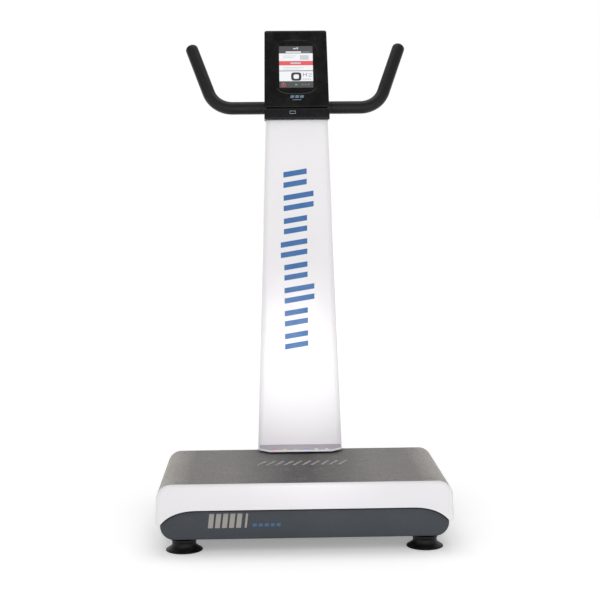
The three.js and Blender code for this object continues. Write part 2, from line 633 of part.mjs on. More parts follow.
// The half of the handlebar from a given distance off the middle to the arm's end.
function halfPath(side, startX) {
  const along = new THREE.Vector3(side, 0, 0);
  const arm = armDirection(side);
  const angle = along.angleTo(arm);
  const reach = BAR_BEND_RADIUS * Math.tan(angle / 2);
  const corner = barMiddle.clone().addScaledVector(along, BAR_CORNER_X);
  const bendStart = corner.clone().addScaledVector(along, -reach);
  const bendEnd = corner.clone().addScaledVector(arm, reach);
  const inward = arm.clone().addScaledVector(along, -Math.cos(angle)).normalize();
  const centre = bendStart.clone().addScaledVector(inward, BAR_BEND_RADIUS);
  const start = barMiddle.clone().addScaledVector(along, startX);
  const path = new THREE.CurvePath();
  path.add(new THREE.LineCurve3(start, bendStart));
  path.add(new Bend(centre, inward.clone().negate(), along, BAR_BEND_RADIUS, angle));
  path.add(new THREE.LineCurve3(bendEnd, armEnd(side)));
  return path;
}

function tube(path, outer, inner, steps, sides) {
  const ring = new THREE.Shape().absarc(0, 0, outer, 0, Math.PI * 2);
  ring.holes.push(new THREE.Path().absarc(0, 0, inner, 0, Math.PI * 2, true));
  return new THREE.ExtrudeGeometry(ring, {
    steps, extrudePath: path, bevelEnabled: false, curveSegments: sides / 2,
  });
}

function makeHandlebar() {
  const gripStart = CONSOLE_WIDTH_LOW / 2 + GAP;
  const halves = [-1, 1].map((side) => tube(halfPath(side, 0.5), BAR_RADIUS, BAR_BORE, 18, 12));
  const sleeve = ringAlongX(BAR_RADIUS, BAR_BORE, -4, 4);
  part('handlebar_tube', joined(sleeve, ...halves), paintedSteel);
  for (const [side, word] of [[-1, 'left'], [1, 'right']]) {
    part(`grip_${word}`, tube(halfPath(side, gripStart), GRIP_RADIUS, BAR_RADIUS + GRIP_CLEARANCE, 20, 14),
      gripRubber);
    const plug = BAR_BORE - GRIP_CLEARANCE;
    const profile = [[0, -14], [plug, -14], [plug, GAP], [GRIP_RADIUS, GAP]];
    for (let step = 1; step <= 5; step += 1) {
      const a = (step / 5) * Math.PI / 2;
      profile.push([GRIP_RADIUS * Math.cos(a), GAP + 13 * Math.sin(a)]);
    }
    profile[profile.length - 1][0] = 0;
    const cap = new THREE.LatheGeometry(profile.map(([x, y]) => new THREE.Vector2(x, y)), 16);
    const mesh = part(`grip_cap_${word}`, cap, gripRubber);
    mesh.position.copy(armEnd(side));
    mesh.quaternion.setFromUnitVectors(new THREE.Vector3(0, 1, 0), armDirection(side));
  }
  const clamp = box(-26, 26, MAST_FRONT, MAST_BACK + 8, MAST_TOP + GAP, BAR_HEIGHT + 19);
  part('handlebar_clamp', cut(clamp, cylinderX(BAR_RADIUS + GAP, -40, 40, BAR_Y, BAR_HEIGHT, 24)),
    castIron);
}

function ringAlongX(outer, inner, x0, x1) {
  return cut(cylinderX(outer, x0, x1, BAR_Y, BAR_HEIGHT, 24), cylinderX(inner, x0 - 1, x1 + 1, BAR_Y,
    BAR_HEIGHT, 24));
}

// ---------- rocking pivot ----------
function standOutline(x, halfFoot, halfHead, head) {
  return polygon([
    [x - halfFoot, ON_FRAME], [x + halfFoot, ON_FRAME], [x + halfFoot, ON_FRAME + 8],
    [x + halfHead, head], [x - halfHead, head], [x - halfFoot, ON_FRAME + 8],
  ]);
}

function makePivot() {
  const shaftFront = STAND_YS.front - 9;
  const shaftBack = STAND_YS.rear + 9;
  part('pivot_shaft', cylinderY(PIVOT_RADIUS, shaftFront, shaftBack, 0, PIVOT_HEIGHT, 28), brightSteel);
  const bushRadius = PIVOT_RADIUS + GAP + BUSH_WALL;
  for (const place of ['front', 'rear']) {
    const standY = STAND_YS[place];
    part(`pivot_stand_${place}`, cut(
      alongY(standOutline(0, 42, 20, PIVOT_HEIGHT + 22), standY - 6, standY + 6),
      cylinderY(PIVOT_RADIUS + GAP, standY - 20, standY + 20, 0, PIVOT_HEIGHT)), castIron);
    const y = HOUSING_YS[place];
    const hanger = polygon([
      [-45, UNDER_DECK - 8], [-22, PIVOT_HEIGHT - 10], [-14, PIVOT_HEIGHT - 22], [14, PIVOT_HEIGHT - 22],
      [22, PIVOT_HEIGHT - 10], [45, UNDER_DECK - 8], [45, UNDER_DECK], [-45, UNDER_DECK],
    ]);
    part(`bearing_housing_${place}`, cut(alongY(hanger, y - 15, y + 15),
      cylinderY(bushRadius + GAP, y - 20, y + 20, 0, PIVOT_HEIGHT)), castIron);
    part(`pivot_bush_${place}`,
      ringY(bushRadius, PIVOT_RADIUS + GAP, y - 16, y + 16, 0, PIVOT_HEIGHT), bronze);
  }
}

// ---------- crankshaft, connecting rods, belt and motor ----------
function pulley(radius, bore, x, z) {
  const half = BELT_WIDTH / 2 + GAP;
  const flange = 2;
  const rim = radius + BELT_THICKNESS + 1;
  return joined(
    ringY(radius, bore, BELT_Y - half, BELT_Y + half, x, z),
    ringY(rim, bore, BELT_Y - half - flange, BELT_Y - half, x, z),
    ringY(rim, bore, BELT_Y + half, BELT_Y + half + flange, x, z));
}

// The belt's line round two pulleys, at a given distance outside them.
function beltLoop(outside, Kind) {
  const small = MOTOR_PULLEY_RADIUS + outside;
  const large = CRANK_PULLEY_RADIUS + outside;
  const across = CRANK_X - MOTOR_X;
  const rise = PIVOT_HEIGHT - MOTOR_HEIGHT;
  const slope = Math.atan2(rise, across);
  const lean = Math.asin((large - small) / Math.hypot(across, rise));
  const upper = slope + Math.PI / 2 + lean;
  const lower = slope - Math.PI / 2 - lean;
  const loop = new Kind();
  loop.absarc(CRANK_X, PIVOT_HEIGHT, large, lower, upper, false);
  loop.absarc(MOTOR_X, MOTOR_HEIGHT, small, upper, lower + Math.PI * 2, false);
  return loop;
}

function makeCrank() {
  const shaft = cylinderY(CRANK_RADIUS, BELT_Y - 14, PILLOW_YS.rear + 18, CRANK_X, PIVOT_HEIGHT, 28);
  const eccentrics = Object.values(ROD_YS).map((y) => cylinderY(ECCENTRIC_RADIUS,
    y - ROD_WIDTH / 2 - 2, y + ROD_WIDTH / 2 + 2, CRANK_X + CRANK_THROW, PIVOT_HEIGHT, 28));
  part('crankshaft', joined(shaft, ...eccentrics), brightSteel);
  part('crank_pulley', pulley(CRANK_PULLEY_RADIUS, CRANK_RADIUS + GAP, CRANK_X, PIVOT_HEIGHT), castIron);

  for (const place of ['front', 'rear']) {
    const pillowY = PILLOW_YS[place];
    part(`crank_pillow_${place}`, cut(
      alongY(standOutline(CRANK_X, 32, 20, PIVOT_HEIGHT + 20), pillowY - 9, pillowY + 9),
      cylinderY(CRANK_RADIUS + GAP, pillowY - 20, pillowY + 20, CRANK_X, PIVOT_HEIGHT)), castIron);

    const y = ROD_YS[place];
    const x = ROD_BIG_END_X;
    const bigBore = ECCENTRIC_RADIUS + STRAP_CLEARANCE;
    const y0 = y - ROD_WIDTH / 2;
    const y1 = y + ROD_WIDTH / 2;
    const rodBody = joined(
      cylinderY(bigBore + 8, y0, y1, x, PIVOT_HEIGHT, 28), cylinderY(14, y0, y1, x, ROD_PIN_HEIGHT),
      box(x - 9, x + 9, y0, y1, PIVOT_HEIGHT + bigBore + 2, ROD_PIN_HEIGHT));
    part(`connecting_rod_${place}`, cut(rodBody,
      cylinderY(bigBore, y0 - 5, y1 + 5, x, PIVOT_HEIGHT, 28),
      cylinderY(ROD_PIN_RADIUS + GAP, y0 - 5, y1 + 5, x, ROD_PIN_HEIGHT)), brightSteel);

    const inner = ROD_WIDTH / 2 + 0.8;
    const outer = inner + 6;
    const cheek = (low, high) => box(x - 16, x + 16, y + low, y + high, ROD_PIN_HEIGHT - 13, UNDER_DECK);
    part(`rod_clevis_${place}`, cut(
      joined(box(x - 24, x + 24, y - outer, y + outer, UNDER_DECK - 5, UNDER_DECK), cheek(-outer, -inner),
        cheek(inner, outer)),
      cylinderY(ROD_PIN_RADIUS + GAP, y - 30, y + 30, x, ROD_PIN_HEIGHT)), castIron);
    part(`rod_pin_${place}`, joined(
      cylinderY(ROD_PIN_RADIUS, y - outer - 3, y + outer + 3, x, ROD_PIN_HEIGHT, 20),
      cylinderY(ROD_PIN_RADIUS + 3, y - outer - 5, y - outer - GAP, x, ROD_PIN_HEIGHT, 20)), brightSteel);
  }
}

function makeMotor() {
  const bodyFront = BELT_Y + 34;
  const bodyBack = bodyFront + MOTOR_LENGTH;
  const can = cylinderY(MOTOR_RADIUS, bodyFront + 12, bodyBack - 12, MOTOR_X, MOTOR_HEIGHT, 32);
  const bells = [[bodyFront, bodyFront + 12], [bodyBack - 12, bodyBack]].map(
    ([y0, y1]) => cylinderY(MOTOR_RADIUS - 4, y0, y1, MOTOR_X, MOTOR_HEIGHT, 32));
  const shaftBore = cylinderY(7 + GAP, bodyFront - 5, bodyFront + 30, MOTOR_X, MOTOR_HEIGHT, 20);
  part('motor_body', cut(joined(can, ...bells), shaftBore), mattBlack);
  part('motor_rotor_shaft', cylinderY(7, BELT_Y - 14, bodyFront + 28, MOTOR_X, MOTOR_HEIGHT, 20),
    brightSteel);
  part('motor_pulley', pulley(MOTOR_PULLEY_RADIUS, 7 + GAP, MOTOR_X, MOTOR_HEIGHT), castIron);
  const cradle = box(MOTOR_X - 52, MOTOR_X + 52, bodyFront + 25, bodyBack - 25, ON_FRAME,
    MOTOR_HEIGHT - 16);
  const canSpace = cylinderY(MOTOR_RADIUS + GAP, bodyFront, bodyBack, MOTOR_X, MOTOR_HEIGHT, 32);
  const lightening = box(MOTOR_X - 60, MOTOR_X + 60, bodyFront + 40, bodyBack - 40, ON_FRAME + 6, 200);
  part('motor_cradle', cut(cradle, canSpace, lightening), paintedSteel);

  const belt = beltLoop(GAP + BELT_THICKNESS - 0.5, THREE.Shape);
  belt.holes.push(beltLoop(GAP, THREE.Path));
  part('drive_belt', alongY(belt, BELT_Y - BELT_WIDTH / 2, BELT_Y + BELT_WIDTH / 2, 0, 10), mattBlack);
}

// ---------- electrics ----------
function makeElectrics() {
  part('controller_box', alongZ(roundedRectangle(172, 288, FRONT + 156, FRONT + 336, 6), ON_FRAME,
    ON_FRAME + 56, 2), mattBlack);

  const face = TUB_BACK + GAP;
  const halfWide = INLET_WIDTH / 2;
  const halfHigh = INLET_HEIGHT / 2;
  const flange = alongY(roundedRectangle(INLET_X - halfWide, INLET_X + halfWide, INLET_Z - halfHigh,
    INLET_Z + halfHigh, 4), face, face + 3, 0, 4);
  const bodyInset = INLET_RIM + GAP + 0.2;
  const body = box(INLET_X - halfWide + bodyInset, INLET_X + halfWide - bodyInset, face - 30, face + 0.5,
    INLET_Z - halfHigh + bodyInset, INLET_Z + halfHigh - bodyInset);
  const socketX = INLET_X - 13;
  const socketZ = INLET_Z + 4;
  const socket = box(socketX - 13, socketX + 13, face - 15, face + 5, socketZ - 8.5, socketZ + 8.5);
  const drawerZ = INLET_Z - 10.5;
  const drawerSpace = box(socketX - 12, socketX + 12, face - 24, face + 5, drawerZ - 3.6, drawerZ + 3.6);
  const rockerX = INLET_X + 20;
  const rockerSpace = box(rockerX - 7, rockerX + 7, face - 16, face + 5, INLET_Z - 11.5, INLET_Z + 11.5);
  const pins = [-7, 0, 7].map((dx) => box(socketX + dx - 1, socketX + dx + 1, face - 18, face - 4,
    socketZ - 2 + (dx === 0 ? 3.5 : 0), socketZ + 2 + (dx === 0 ? 3.5 : 0)));
  part('inlet_module', joined(cut(joined(flange, body), socket, drawerSpace, rockerSpace), ...pins),
    mattBlack);
  part('fuse_drawer', box(socketX - 12 + GAP, socketX + 12 - GAP, face - 23, face + 3.6,
    drawerZ - 3.6 + GAP, drawerZ + 3.6 - GAP), mattBlack);
  const rocker = alongX(polygon([
    [-6, -5], [-6, 5], [-1, 8], [2.4, 9.6], [0.8, 0], [2.4, -9.6], [-1, -8],
  ]), -6.4, 6.4);
  const mesh = part('rocker_switch', rocker, mattBlack);
  mesh.position.set(rockerX, face + 1.5, INLET_Z);
  mesh.rotation.x = radians(-7);

  const point = (x, y, z) => new THREE.Vector3(x, y, z);
  machine.updateMatrixWorld(true);
  const beside = MAST_WIDTH / 2 + 15;
  const up = (v, w) => consoleGroup.localToWorld(point(beside, v, w));
  const bar = barInConsole();
  const around = BAR_RADIUS + 7.5;
  const route = new THREE.CatmullRomCurve3([
    up(SCREEN_BOTTOM - 9, -FASCIA_DEPTH - 6),
    up(bar.y + around * 0.35, bar.z + around * 0.94),
    up(bar.y - around * 0.86, bar.z + around * 0.51),
    up(0, -48), point(beside, MAST_FRONT + 12, CONSOLE_BOTTOM - 70), point(beside, MAST_FRONT + 12, 600),
    point(beside, MAST_FRONT + 12, 200), point(beside + 3, MAST_FRONT + 12, 110),
    point(beside + 30, MAST_FRONT - 10, 68),
    point(165, FRONT + 405, 62), point(215, FRONT + 375, 62), point(222, FRONT + 337, 62),
  ], false, 'centripetal');
  const round = new THREE.Shape().absarc(0, 0, CABLE_RADIUS, 0, Math.PI * 2);
  part('console_cable', new THREE.ExtrudeGeometry(round, {
    steps: 56, extrudePath: route, bevelEnabled: false, curveSegments: 3,
  }), cableBlack);
}

// ---------- feet and transport wheels ----------
function makeFeet() {
  const outline = [
    [0, 2], [22, 2], [26, 0], [FOOT_RADIUS - 0.6, 0], [FOOT_RADIUS, 1.6], [FOOT_RADIUS - 1, 4],
    [36, 7.5], [FOOT_NECK + 4, 11.5], [FOOT_NECK + 1, 15], [FOOT_NECK, 26], [FOOT_NECK - 3, 30],
    [STUD_RADIUS, 30.5], [STUD_RADIUS, 64], [0, 64],
  ];
  for (const [end, y] of [['front', FRONT + FOOT_FRONT_INSET], ['rear', FOOT_REAR_Y]]) {
    for (const [side, word] of [[-1, 'left'], [1, 'right']]) {
      const profile = outline.map(([x, z]) => new THREE.Vector2(x, z));
      const foot = new THREE.LatheGeometry(profile, 20).rotateX(Math.PI / 2);
      part(`foot_${end}_${word}`, foot, footRubber).position.set(side * FOOT_X, y, 0);
    }
  }
}

function makeWheels() {
  const y = BACK - WHEEL_RADIUS;
  for (const [side, word] of [[-1, 'left'], [1, 'right']]) {
    const half = WHEEL_WIDTH / 2;
    const bore = AXLE_RADIUS + GAP;
    const profile = [
      [bore, -half], [12, -half], [14, -half + 3], [WHEEL_RADIUS - 7, -half + 3], [WHEEL_RADIUS - 5, -half],
      [WHEEL_RADIUS - 2, -half], [WHEEL_RADIUS, -half + 3], [WHEEL_RADIUS, half - 3],
      [WHEEL_RADIUS - 2, half], [WHEEL_RADIUS - 5, half], [WHEEL_RADIUS - 7, half - 3], [14, half - 3],
      [12, half], [bore, half], [bore, -half],
    ];
    const wheel = new THREE.LatheGeometry(profile.map(([r, x]) => new THREE.Vector2(r, x)), 24);
    part(`wheel_${word}`, wheel.rotateZ(-Math.PI / 2), footRubber)
      .position.set(side * WHEEL_X, y, WHEEL_HEIGHT);
    const length = wheelAxleHalf();
    part(`wheel_axle_${word}`, cylinderX(AXLE_RADIUS, side * WHEEL_X - length,
      side * WHEEL_X + length, y, WHEEL_HEIGHT, 16), brightSteel);
  }
}

makePlatform();
makeBase();
makeColumn();
makeConsole();
makeHandlebar();
makePivot();
makeCrank();
makeMotor();
makeElectrics();
makeFeet();
makeWheels();

export default machine;
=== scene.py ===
# %% [markdown]
# # A see-saw vibration plate
#
# The machine is a white-skirted platform on a slate tub, a tall white column and a black console with
# a U-shaped handlebar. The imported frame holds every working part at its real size. This script dresses
# it: smooth shells take the place of the faceted ones, small repeated details are grown with Geometry
# Nodes, and every finish is a procedural material.
#
# All lengths are in metres, X to the right, Y to the back, Z up.

# %% Load the frame
import math
import bmesh
import bpy
from mathutils import Matrix, Vector


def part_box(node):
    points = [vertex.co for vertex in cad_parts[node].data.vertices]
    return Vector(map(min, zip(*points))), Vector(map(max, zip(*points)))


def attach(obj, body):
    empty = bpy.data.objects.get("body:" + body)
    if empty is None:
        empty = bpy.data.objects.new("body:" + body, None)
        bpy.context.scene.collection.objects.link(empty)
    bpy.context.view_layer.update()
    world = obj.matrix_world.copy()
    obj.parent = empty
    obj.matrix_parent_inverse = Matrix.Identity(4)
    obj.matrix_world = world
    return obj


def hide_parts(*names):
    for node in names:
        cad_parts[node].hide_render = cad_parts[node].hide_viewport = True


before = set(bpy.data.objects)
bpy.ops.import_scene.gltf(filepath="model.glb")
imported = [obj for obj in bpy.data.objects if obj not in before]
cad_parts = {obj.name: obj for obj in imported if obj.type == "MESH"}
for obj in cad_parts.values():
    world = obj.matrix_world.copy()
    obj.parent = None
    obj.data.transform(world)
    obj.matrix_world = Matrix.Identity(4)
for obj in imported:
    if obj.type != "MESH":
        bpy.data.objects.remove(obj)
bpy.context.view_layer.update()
MM = 0.001

# %% [markdown]
# ## The camera first
#
# A machine of this height looks natural through a long lens from a little over three metres, at
# waist height, slightly left of the middle. The camera is set before anything else, so that each later
# step can be looked at straight away.

# %% Camera
CAMERA_PLACE = Vector((-0.0844, -3.2446, 0.8461))
CAMERA_PITCH = math.radians(85.168)
CAMERA_YAW = math.radians(-1.488)
CAMERA_ROLL = math.radians(-0.546)

lens = bpy.data.cameras.new("camera")
lens.lens = 77.69
lens.sensor_width = 36.0
camera = bpy.data.objects.new("camera", lens)
camera.location = CAMERA_PLACE
aim = Matrix.Rotation(CAMERA_YAW, 4, "Z") @ Matrix.Rotation(CAMERA_PITCH, 4, "X")
camera.matrix_world = Matrix.Translation(CAMERA_PLACE) @ aim @ Matrix.Rotation(CAMERA_ROLL, 4, "Z")
bpy.context.scene.collection.objects.link(camera)
bpy.context.scene.camera = camera
print("camera stands", round(-CAMERA_PLACE.y, 3), "m in front of the middle")

# %% [markdown]
# ## Light and floor
#
# Soft studio light shows the shape of white plastic without hard shadows. A bright world fills the
# shadows. It is darker toward both sides and straight above, so that the sides and the top of a white
# box read as sides and top. Four area lamps give the glossy parts something to reflect, and one narrow
# soft spot lifts the lower half of the column. The standard view transform keeps white plastic white.

# %% Studio
scene = bpy.context.scene
scene.view_settings.view_transform = "Standard"


def colour_of(red, green, blue):
    """A display colour, 0 to 255, as the linear colour that a shader wants."""
    def linear(value):
        share = value / 255
        return share / 12.92 if share <= 0.04045 else ((share + 0.055) / 1.055) ** 2.4
    return (linear(red), linear(green), linear(blue), 1.0)


world = bpy.data.worlds.new("studio")
world.use_nodes = True
backdrop = world.node_tree.nodes["Background"]
backdrop.inputs["Color"].default_value = (1.0, 1.0, 1.0, 1.0)
SIDE_SHADE, SIDE_SHADE_FROM = 0.5, 0.4
TOP_SHADE, TOP_SHADE_FROM = 0.4, 0.25
sky = world.node_tree
direction = sky.nodes.new("ShaderNodeTexCoord").outputs["Generated"]
sideways = sky.nodes.new("ShaderNodeSeparateXYZ")
sky.links.new(direction, sideways.inputs[0])
amount = sky.nodes.new("ShaderNodeMath")
amount.operation = "ABSOLUTE"
sky.links.new(sideways.outputs["X"], amount.inputs[0])
product = sky.nodes.new("ShaderNodeMath")
product.operation = "MULTIPLY"
for slot, (source, start, shade) in enumerate((
        (amount.outputs[0], SIDE_SHADE_FROM, SIDE_SHADE),
        (sideways.outputs["Z"], TOP_SHADE_FROM, TOP_SHADE))):
    falloff = sky.nodes.new("ShaderNodeMapRange")
    for socket, value in (("From Min", start), ("From Max", 1.0), ("To Min", 1.0), ("To Max", shade)):
        falloff.inputs[socket].default_value = value
    sky.links.new(source, falloff.inputs["Value"])
    sky.links.new(falloff.outputs["Result"], product.inputs[slot])
sky.links.new(product.outputs[0], backdrop.inputs["Strength"])
scene.world = world


def softbox(name, place, target, width, height, power):
    """A rectangular lamp that looks at a point."""
    data = bpy.data.lights.new(name, "AREA")
    data.shape = "RECTANGLE"
    data.size = width
    data.size_y = height
    data.energy = power
    lamp = bpy.data.objects.new(name, data)
    lamp.location = place
    lamp.rotation_euler = (Vector(target) - Vector(place)).to_track_quat("-Z", "Y").to_euler()
    scene.collection.objects.link(lamp)
    return lamp


softbox("key_lamp", (-2.2, -2.6, 2.6), (0, 0, 0.6), 1.6, 1.6, 7)
softbox("fill_lamp", (2.4, -2.2, 2.0), (0, 0, 0.7), 1.4, 2.0, 3)
softbox("low_front_lamp", (0.2, -3.4, 0.75), (0, 0, 0.45), 2.2, 1.0, 12)
softbox("top_lamp", (0.0, 0.4, 3.2), (0, 0, 0.3), 2.4, 1.6, 22)
COLUMN_LAMP_PLACE = Vector((0.0, -3.0, 0.5))
COLUMN_LAMP_TARGET = Vector((0, 0.14, 0.345))
COLUMN_LAMP_POWER = 165
COLUMN_LAMP_ANGLE = math.radians(10)
spot = bpy.data.lights.new("column_lamp", "SPOT")
spot.energy = COLUMN_LAMP_POWER
spot.spot_size = COLUMN_LAMP_ANGLE
spot.spot_blend = 1.0
spot.shadow_soft_size = 0.12
column_lamp = bpy.data.objects.new("column_lamp", spot)
column_lamp.location = COLUMN_LAMP_PLACE
toward_column = COLUMN_LAMP_TARGET - COLUMN_LAMP_PLACE
column_lamp.rotation_euler = toward_column.to_track_quat("-Z", "Y").to_euler()
scene.collection.objects.link(column_lamp)
print("lamps:", [light.name for light in bpy.data.lights])

# %% [markdown]
# ## Small tools for materials
#
# A shader is a short recipe: a base colour that varies a little, a roughness that varies a little, and
# a bump made of one or two noises. These helpers keep each recipe down to a few lines. Numbers that are
# the same everywhere go straight onto the shader's own sockets.


# %% Material helpers
def add_node(tree, kind, inputs, settings):
    """A new node with its settings; each input is a plain value or another node's output."""
    made = tree.nodes.new(kind)
    for key, value in settings.items():
        setattr(made, key, value)
    for key, value in (inputs or {}).items():
        if isinstance(value, bpy.types.NodeSocket):
            tree.links.new(value, made.inputs[key])
        else:
            made.inputs[key].default_value = value
    return made


class Recipe:
    """A material under construction, with shortcuts for the nodes that it uses most."""

    def __init__(self, name, **settings):
        self.material = bpy.data.materials.new(name)
        self.material.use_nodes = True
        self.tree = self.material.node_tree
        self.shader = self.tree.nodes["Principled BSDF"]
        for key, value in settings.items():
            self.shader.inputs[key.replace("_", " ")].default_value = value
        self.place = self.node("ShaderNodeTexCoord").outputs["Object"]

    def node(self, kind, inputs=None, **settings):
        return add_node(self.tree, kind, inputs, settings)

    def stretched(self, scale):
        return self.node("ShaderNodeMapping", {"Vector": self.place, "Scale": scale}).outputs["Vector"]

    def noise(self, scale, detail=3.0, roughness=0.5, where=None):
        made = self.node("ShaderNodeTexNoise", {
            "Vector": where or self.place, "Scale": scale, "Detail": detail, "Roughness": roughness})
        return made.outputs["Fac"]

    def cells(self, scale, feature="F1", output="Distance"):
        made = self.node("ShaderNodeTexVoronoi", {"Vector": self.place, "Scale": scale}, feature=feature)
        return made.outputs[output]

    def ramp(self, value, low, high, low_at=0.0, high_at=1.0):
        made = self.node("ShaderNodeMapRange", {
            "Value": value, "From Min": low_at, "From Max": high_at, "To Min": low, "To Max": high})
        return made.outputs["Result"]

    def mix(self, share, first, second, blend="MIX"):
        made = self.node("ShaderNodeMix", {0: share, 6: first, 7: second}, data_type="RGBA", blend_type=blend)
        return made.outputs[2]

    def maths(self, operation, first, second=0.0):
        made = self.node("ShaderNodeMath", {0: first, 1: second}, operation=operation)
        return made.outputs[0]

    def axis(self, letter):
        return self.node("ShaderNodeSeparateXYZ", {"Vector": self.place}).outputs[letter]

    def edges(self, radius):
        """0 on flat ground, rising toward 1 on outer and inner edges."""
        soft = self.node("ShaderNodeBevel", {"Radius": radius}, samples=4).outputs["Normal"]
        hard = self.node("ShaderNodeNewGeometry").outputs["Normal"]
        same = self.node("ShaderNodeVectorMath", {0: soft, 1: hard}, operation="DOT_PRODUCT")
        return self.ramp(same.outputs["Value"], 1.0, 0.0, 0.75, 0.99)

    def colour(self, value):
        self.tree.links.new(value, self.shader.inputs["Base Color"])

    def roughness(self, value):
        self.tree.links.new(value, self.shader.inputs["Roughness"])

    def bump(self, *layers):
        """Each layer is (height, strength, depth in metres)."""
        normal = None
        for height, strength, depth in layers:
            made = self.node("ShaderNodeBump", {"Height": height, "Strength": strength, "Distance": depth})
            if normal is not None:
                self.tree.links.new(normal, made.inputs["Normal"])
            normal = made.outputs["Normal"]
        self.tree.links.new(normal, self.shader.inputs["Normal"])


def plain_to_speckled(name, colour, other, roughness, grain, depth, share=0.5, **settings):
    """Moulded plastic or paint: two near colours, a fine grain and a faint large-scale change."""
    recipe = Recipe(name, **settings)
    broad = recipe.ramp(recipe.noise(4.0, 2.0), 0.0, share, 0.35, 0.65)
    recipe.colour(recipe.mix(broad, colour_of(*colour), colour_of(*other)))
    recipe.roughness(recipe.ramp(recipe.noise(25.0, 3.0), roughness - 0.05, roughness + 0.06, 0.3, 0.7))
    recipe.bump((recipe.noise(grain, 2.0), 0.35, depth))
    return recipe.material


# %% [markdown]
# ## Finishes of the shells
#
# The skirt and column are satin white mouldings with a faint orange-peel skin. The tub is a slate grey
# with a spark-eroded texture, so it is rougher and its bump is finer and deeper; its colour is painted
# darker toward its foot, as painted shade. The mat is a dusty vulcanised rubber. Its colour holds a
# painted reflection: dark in the middle, where the column is mirrored, greyer toward both sides and
# palest on the rolled shoulders, where the bright room is mirrored. Its raised marks are worn lighter
# than the rubber round them.

# %% Shell finishes
def white_moulding():
    recipe = Recipe("satin_white", Coat_Weight=0.15, Coat_Roughness=0.25)
    tint = recipe.ramp(recipe.noise(3.0, 2.0), 0.0, 1.0, 0.3, 0.7)
    base = recipe.mix(tint, colour_of(226, 224, 226), colour_of(231, 229, 231))
    scuffs = recipe.ramp(recipe.noise(38.0, 5.0, 0.7), 0.0, 0.22, 0.62, 0.78)
    recipe.colour(recipe.mix(scuffs, base, colour_of(222, 219, 219)))
    recipe.roughness(recipe.ramp(recipe.noise(22.0, 4.0), 0.3, 0.42, 0.3, 0.7))
    recipe.bump((recipe.noise(900.0, 1.0), 0.25, 0.00006), (recipe.noise(60.0, 1.0), 0.15, 0.0002))
    return recipe.material


def slate_moulding():
    recipe = Recipe("slate_texture", Specular_IOR_Level=0.35)
    tone = recipe.ramp(recipe.noise(5.0, 3.0), 0.0, 1.0, 0.35, 0.65)
    base = recipe.mix(tone, colour_of(56, 61, 67), colour_of(63, 68, 75))
    dust = recipe.ramp(recipe.noise(45.0, 6.0, 0.7), 0.0, 0.3, 0.55, 0.75)
    worn = recipe.mix(dust, base, colour_of(82, 86, 91))
    # Painted shade: the tub's colour darkens toward its foot.
    low = recipe.ramp(recipe.axis("Z"), 0.35, 0.0, 0.036, 0.09)
    recipe.colour(recipe.mix(low, worn, colour_of(46, 47, 49)))
    recipe.roughness(recipe.ramp(recipe.noise(80.0, 3.0), 0.42, 0.56, 0.3, 0.7))
    recipe.bump((recipe.cells(1400.0), 0.35, 0.00012), (recipe.noise(500.0, 2.0), 0.3, 0.0001))
    return recipe.material


def tread_rubber():
    recipe = Recipe("tread_rubber", Specular_IOR_Level=0.4)
    # Painted reflection: the rubber is dark in the middle, paler toward the sides and palest on the
    # shoulders, standing in for the column and the bright room mirrored in it.
    across = recipe.maths("ABSOLUTE", recipe.axis("X"))
    sides = recipe.ramp(across, 0.0, 0.9, 0.02, 0.17)
    shoulders = recipe.ramp(across, 0.0, 0.75, 0.27, 0.34)
    cloud = recipe.ramp(recipe.noise(7.0, 6.0, 0.66), 0.0, 1.0, 0.32, 0.68)
    painted_reflection = recipe.mix(sides, colour_of(38, 37, 41), colour_of(128, 125, 122))
    base = recipe.mix(shoulders, painted_reflection, colour_of(206, 201, 194))
    cloudy = recipe.mix(recipe.maths("MULTIPLY", cloud, 0.36), base, colour_of(154, 151, 147))
    scuff_field = recipe.noise(1.0, 4.0, 0.6, recipe.stretched((22.0, 90.0, 22.0)))
    scuffs = recipe.ramp(scuff_field, 0.0, 0.4, 0.58, 0.74)
    scuffed = recipe.mix(scuffs, cloudy, colour_of(165, 162, 158))
    grit = recipe.ramp(recipe.noise(210.0, 3.0, 0.75), 0.0, 0.5, 0.5, 0.68)
    gritty = recipe.mix(grit, scuffed, colour_of(42, 42, 44))
    fleck = recipe.ramp(recipe.cells(330.0), 0.7, 0.0, 0.1, 0.3)
    recipe.colour(recipe.mix(fleck, gritty, colour_of(186, 184, 180)))
    recipe.roughness(recipe.ramp(cloud, 0.55, 0.85))
    recipe.bump((recipe.cells(330.0, "SMOOTH_F1"), 0.7, 0.0008), (recipe.noise(1500.0, 2.0), 0.4, 0.0002))
    return recipe.material


def worn_rubber():
    recipe = Recipe("worn_rubber", Specular_IOR_Level=0.35)
    dust = recipe.ramp(recipe.noise(120.0, 5.0, 0.7), 0.0, 1.0, 0.35, 0.65)
    recipe.colour(recipe.mix(dust, colour_of(112, 109, 110), colour_of(182, 178, 176)))
    recipe.roughness(recipe.ramp(dust, 0.6, 0.85))
    recipe.bump((recipe.noise(900.0, 3.0), 0.4, 0.0002))
    return recipe.material


WHITE = white_moulding()
SLATE = slate_moulding()
TREAD = tread_rubber()
WORN = worn_rubber()

# %% [markdown]
# ## Finishes of the touch parts and the works
#
# The grips are matt rubber with closed pores and a faint polish. The console is piano black, and its
# gloss only looks real with smudges, so a slow noise lifts the roughness in patches. The band below it
# is a shade bluer. Turned steel has fine rings, cast iron a coarse sand skin, and painted steel an even
# powder grain with bare edges.


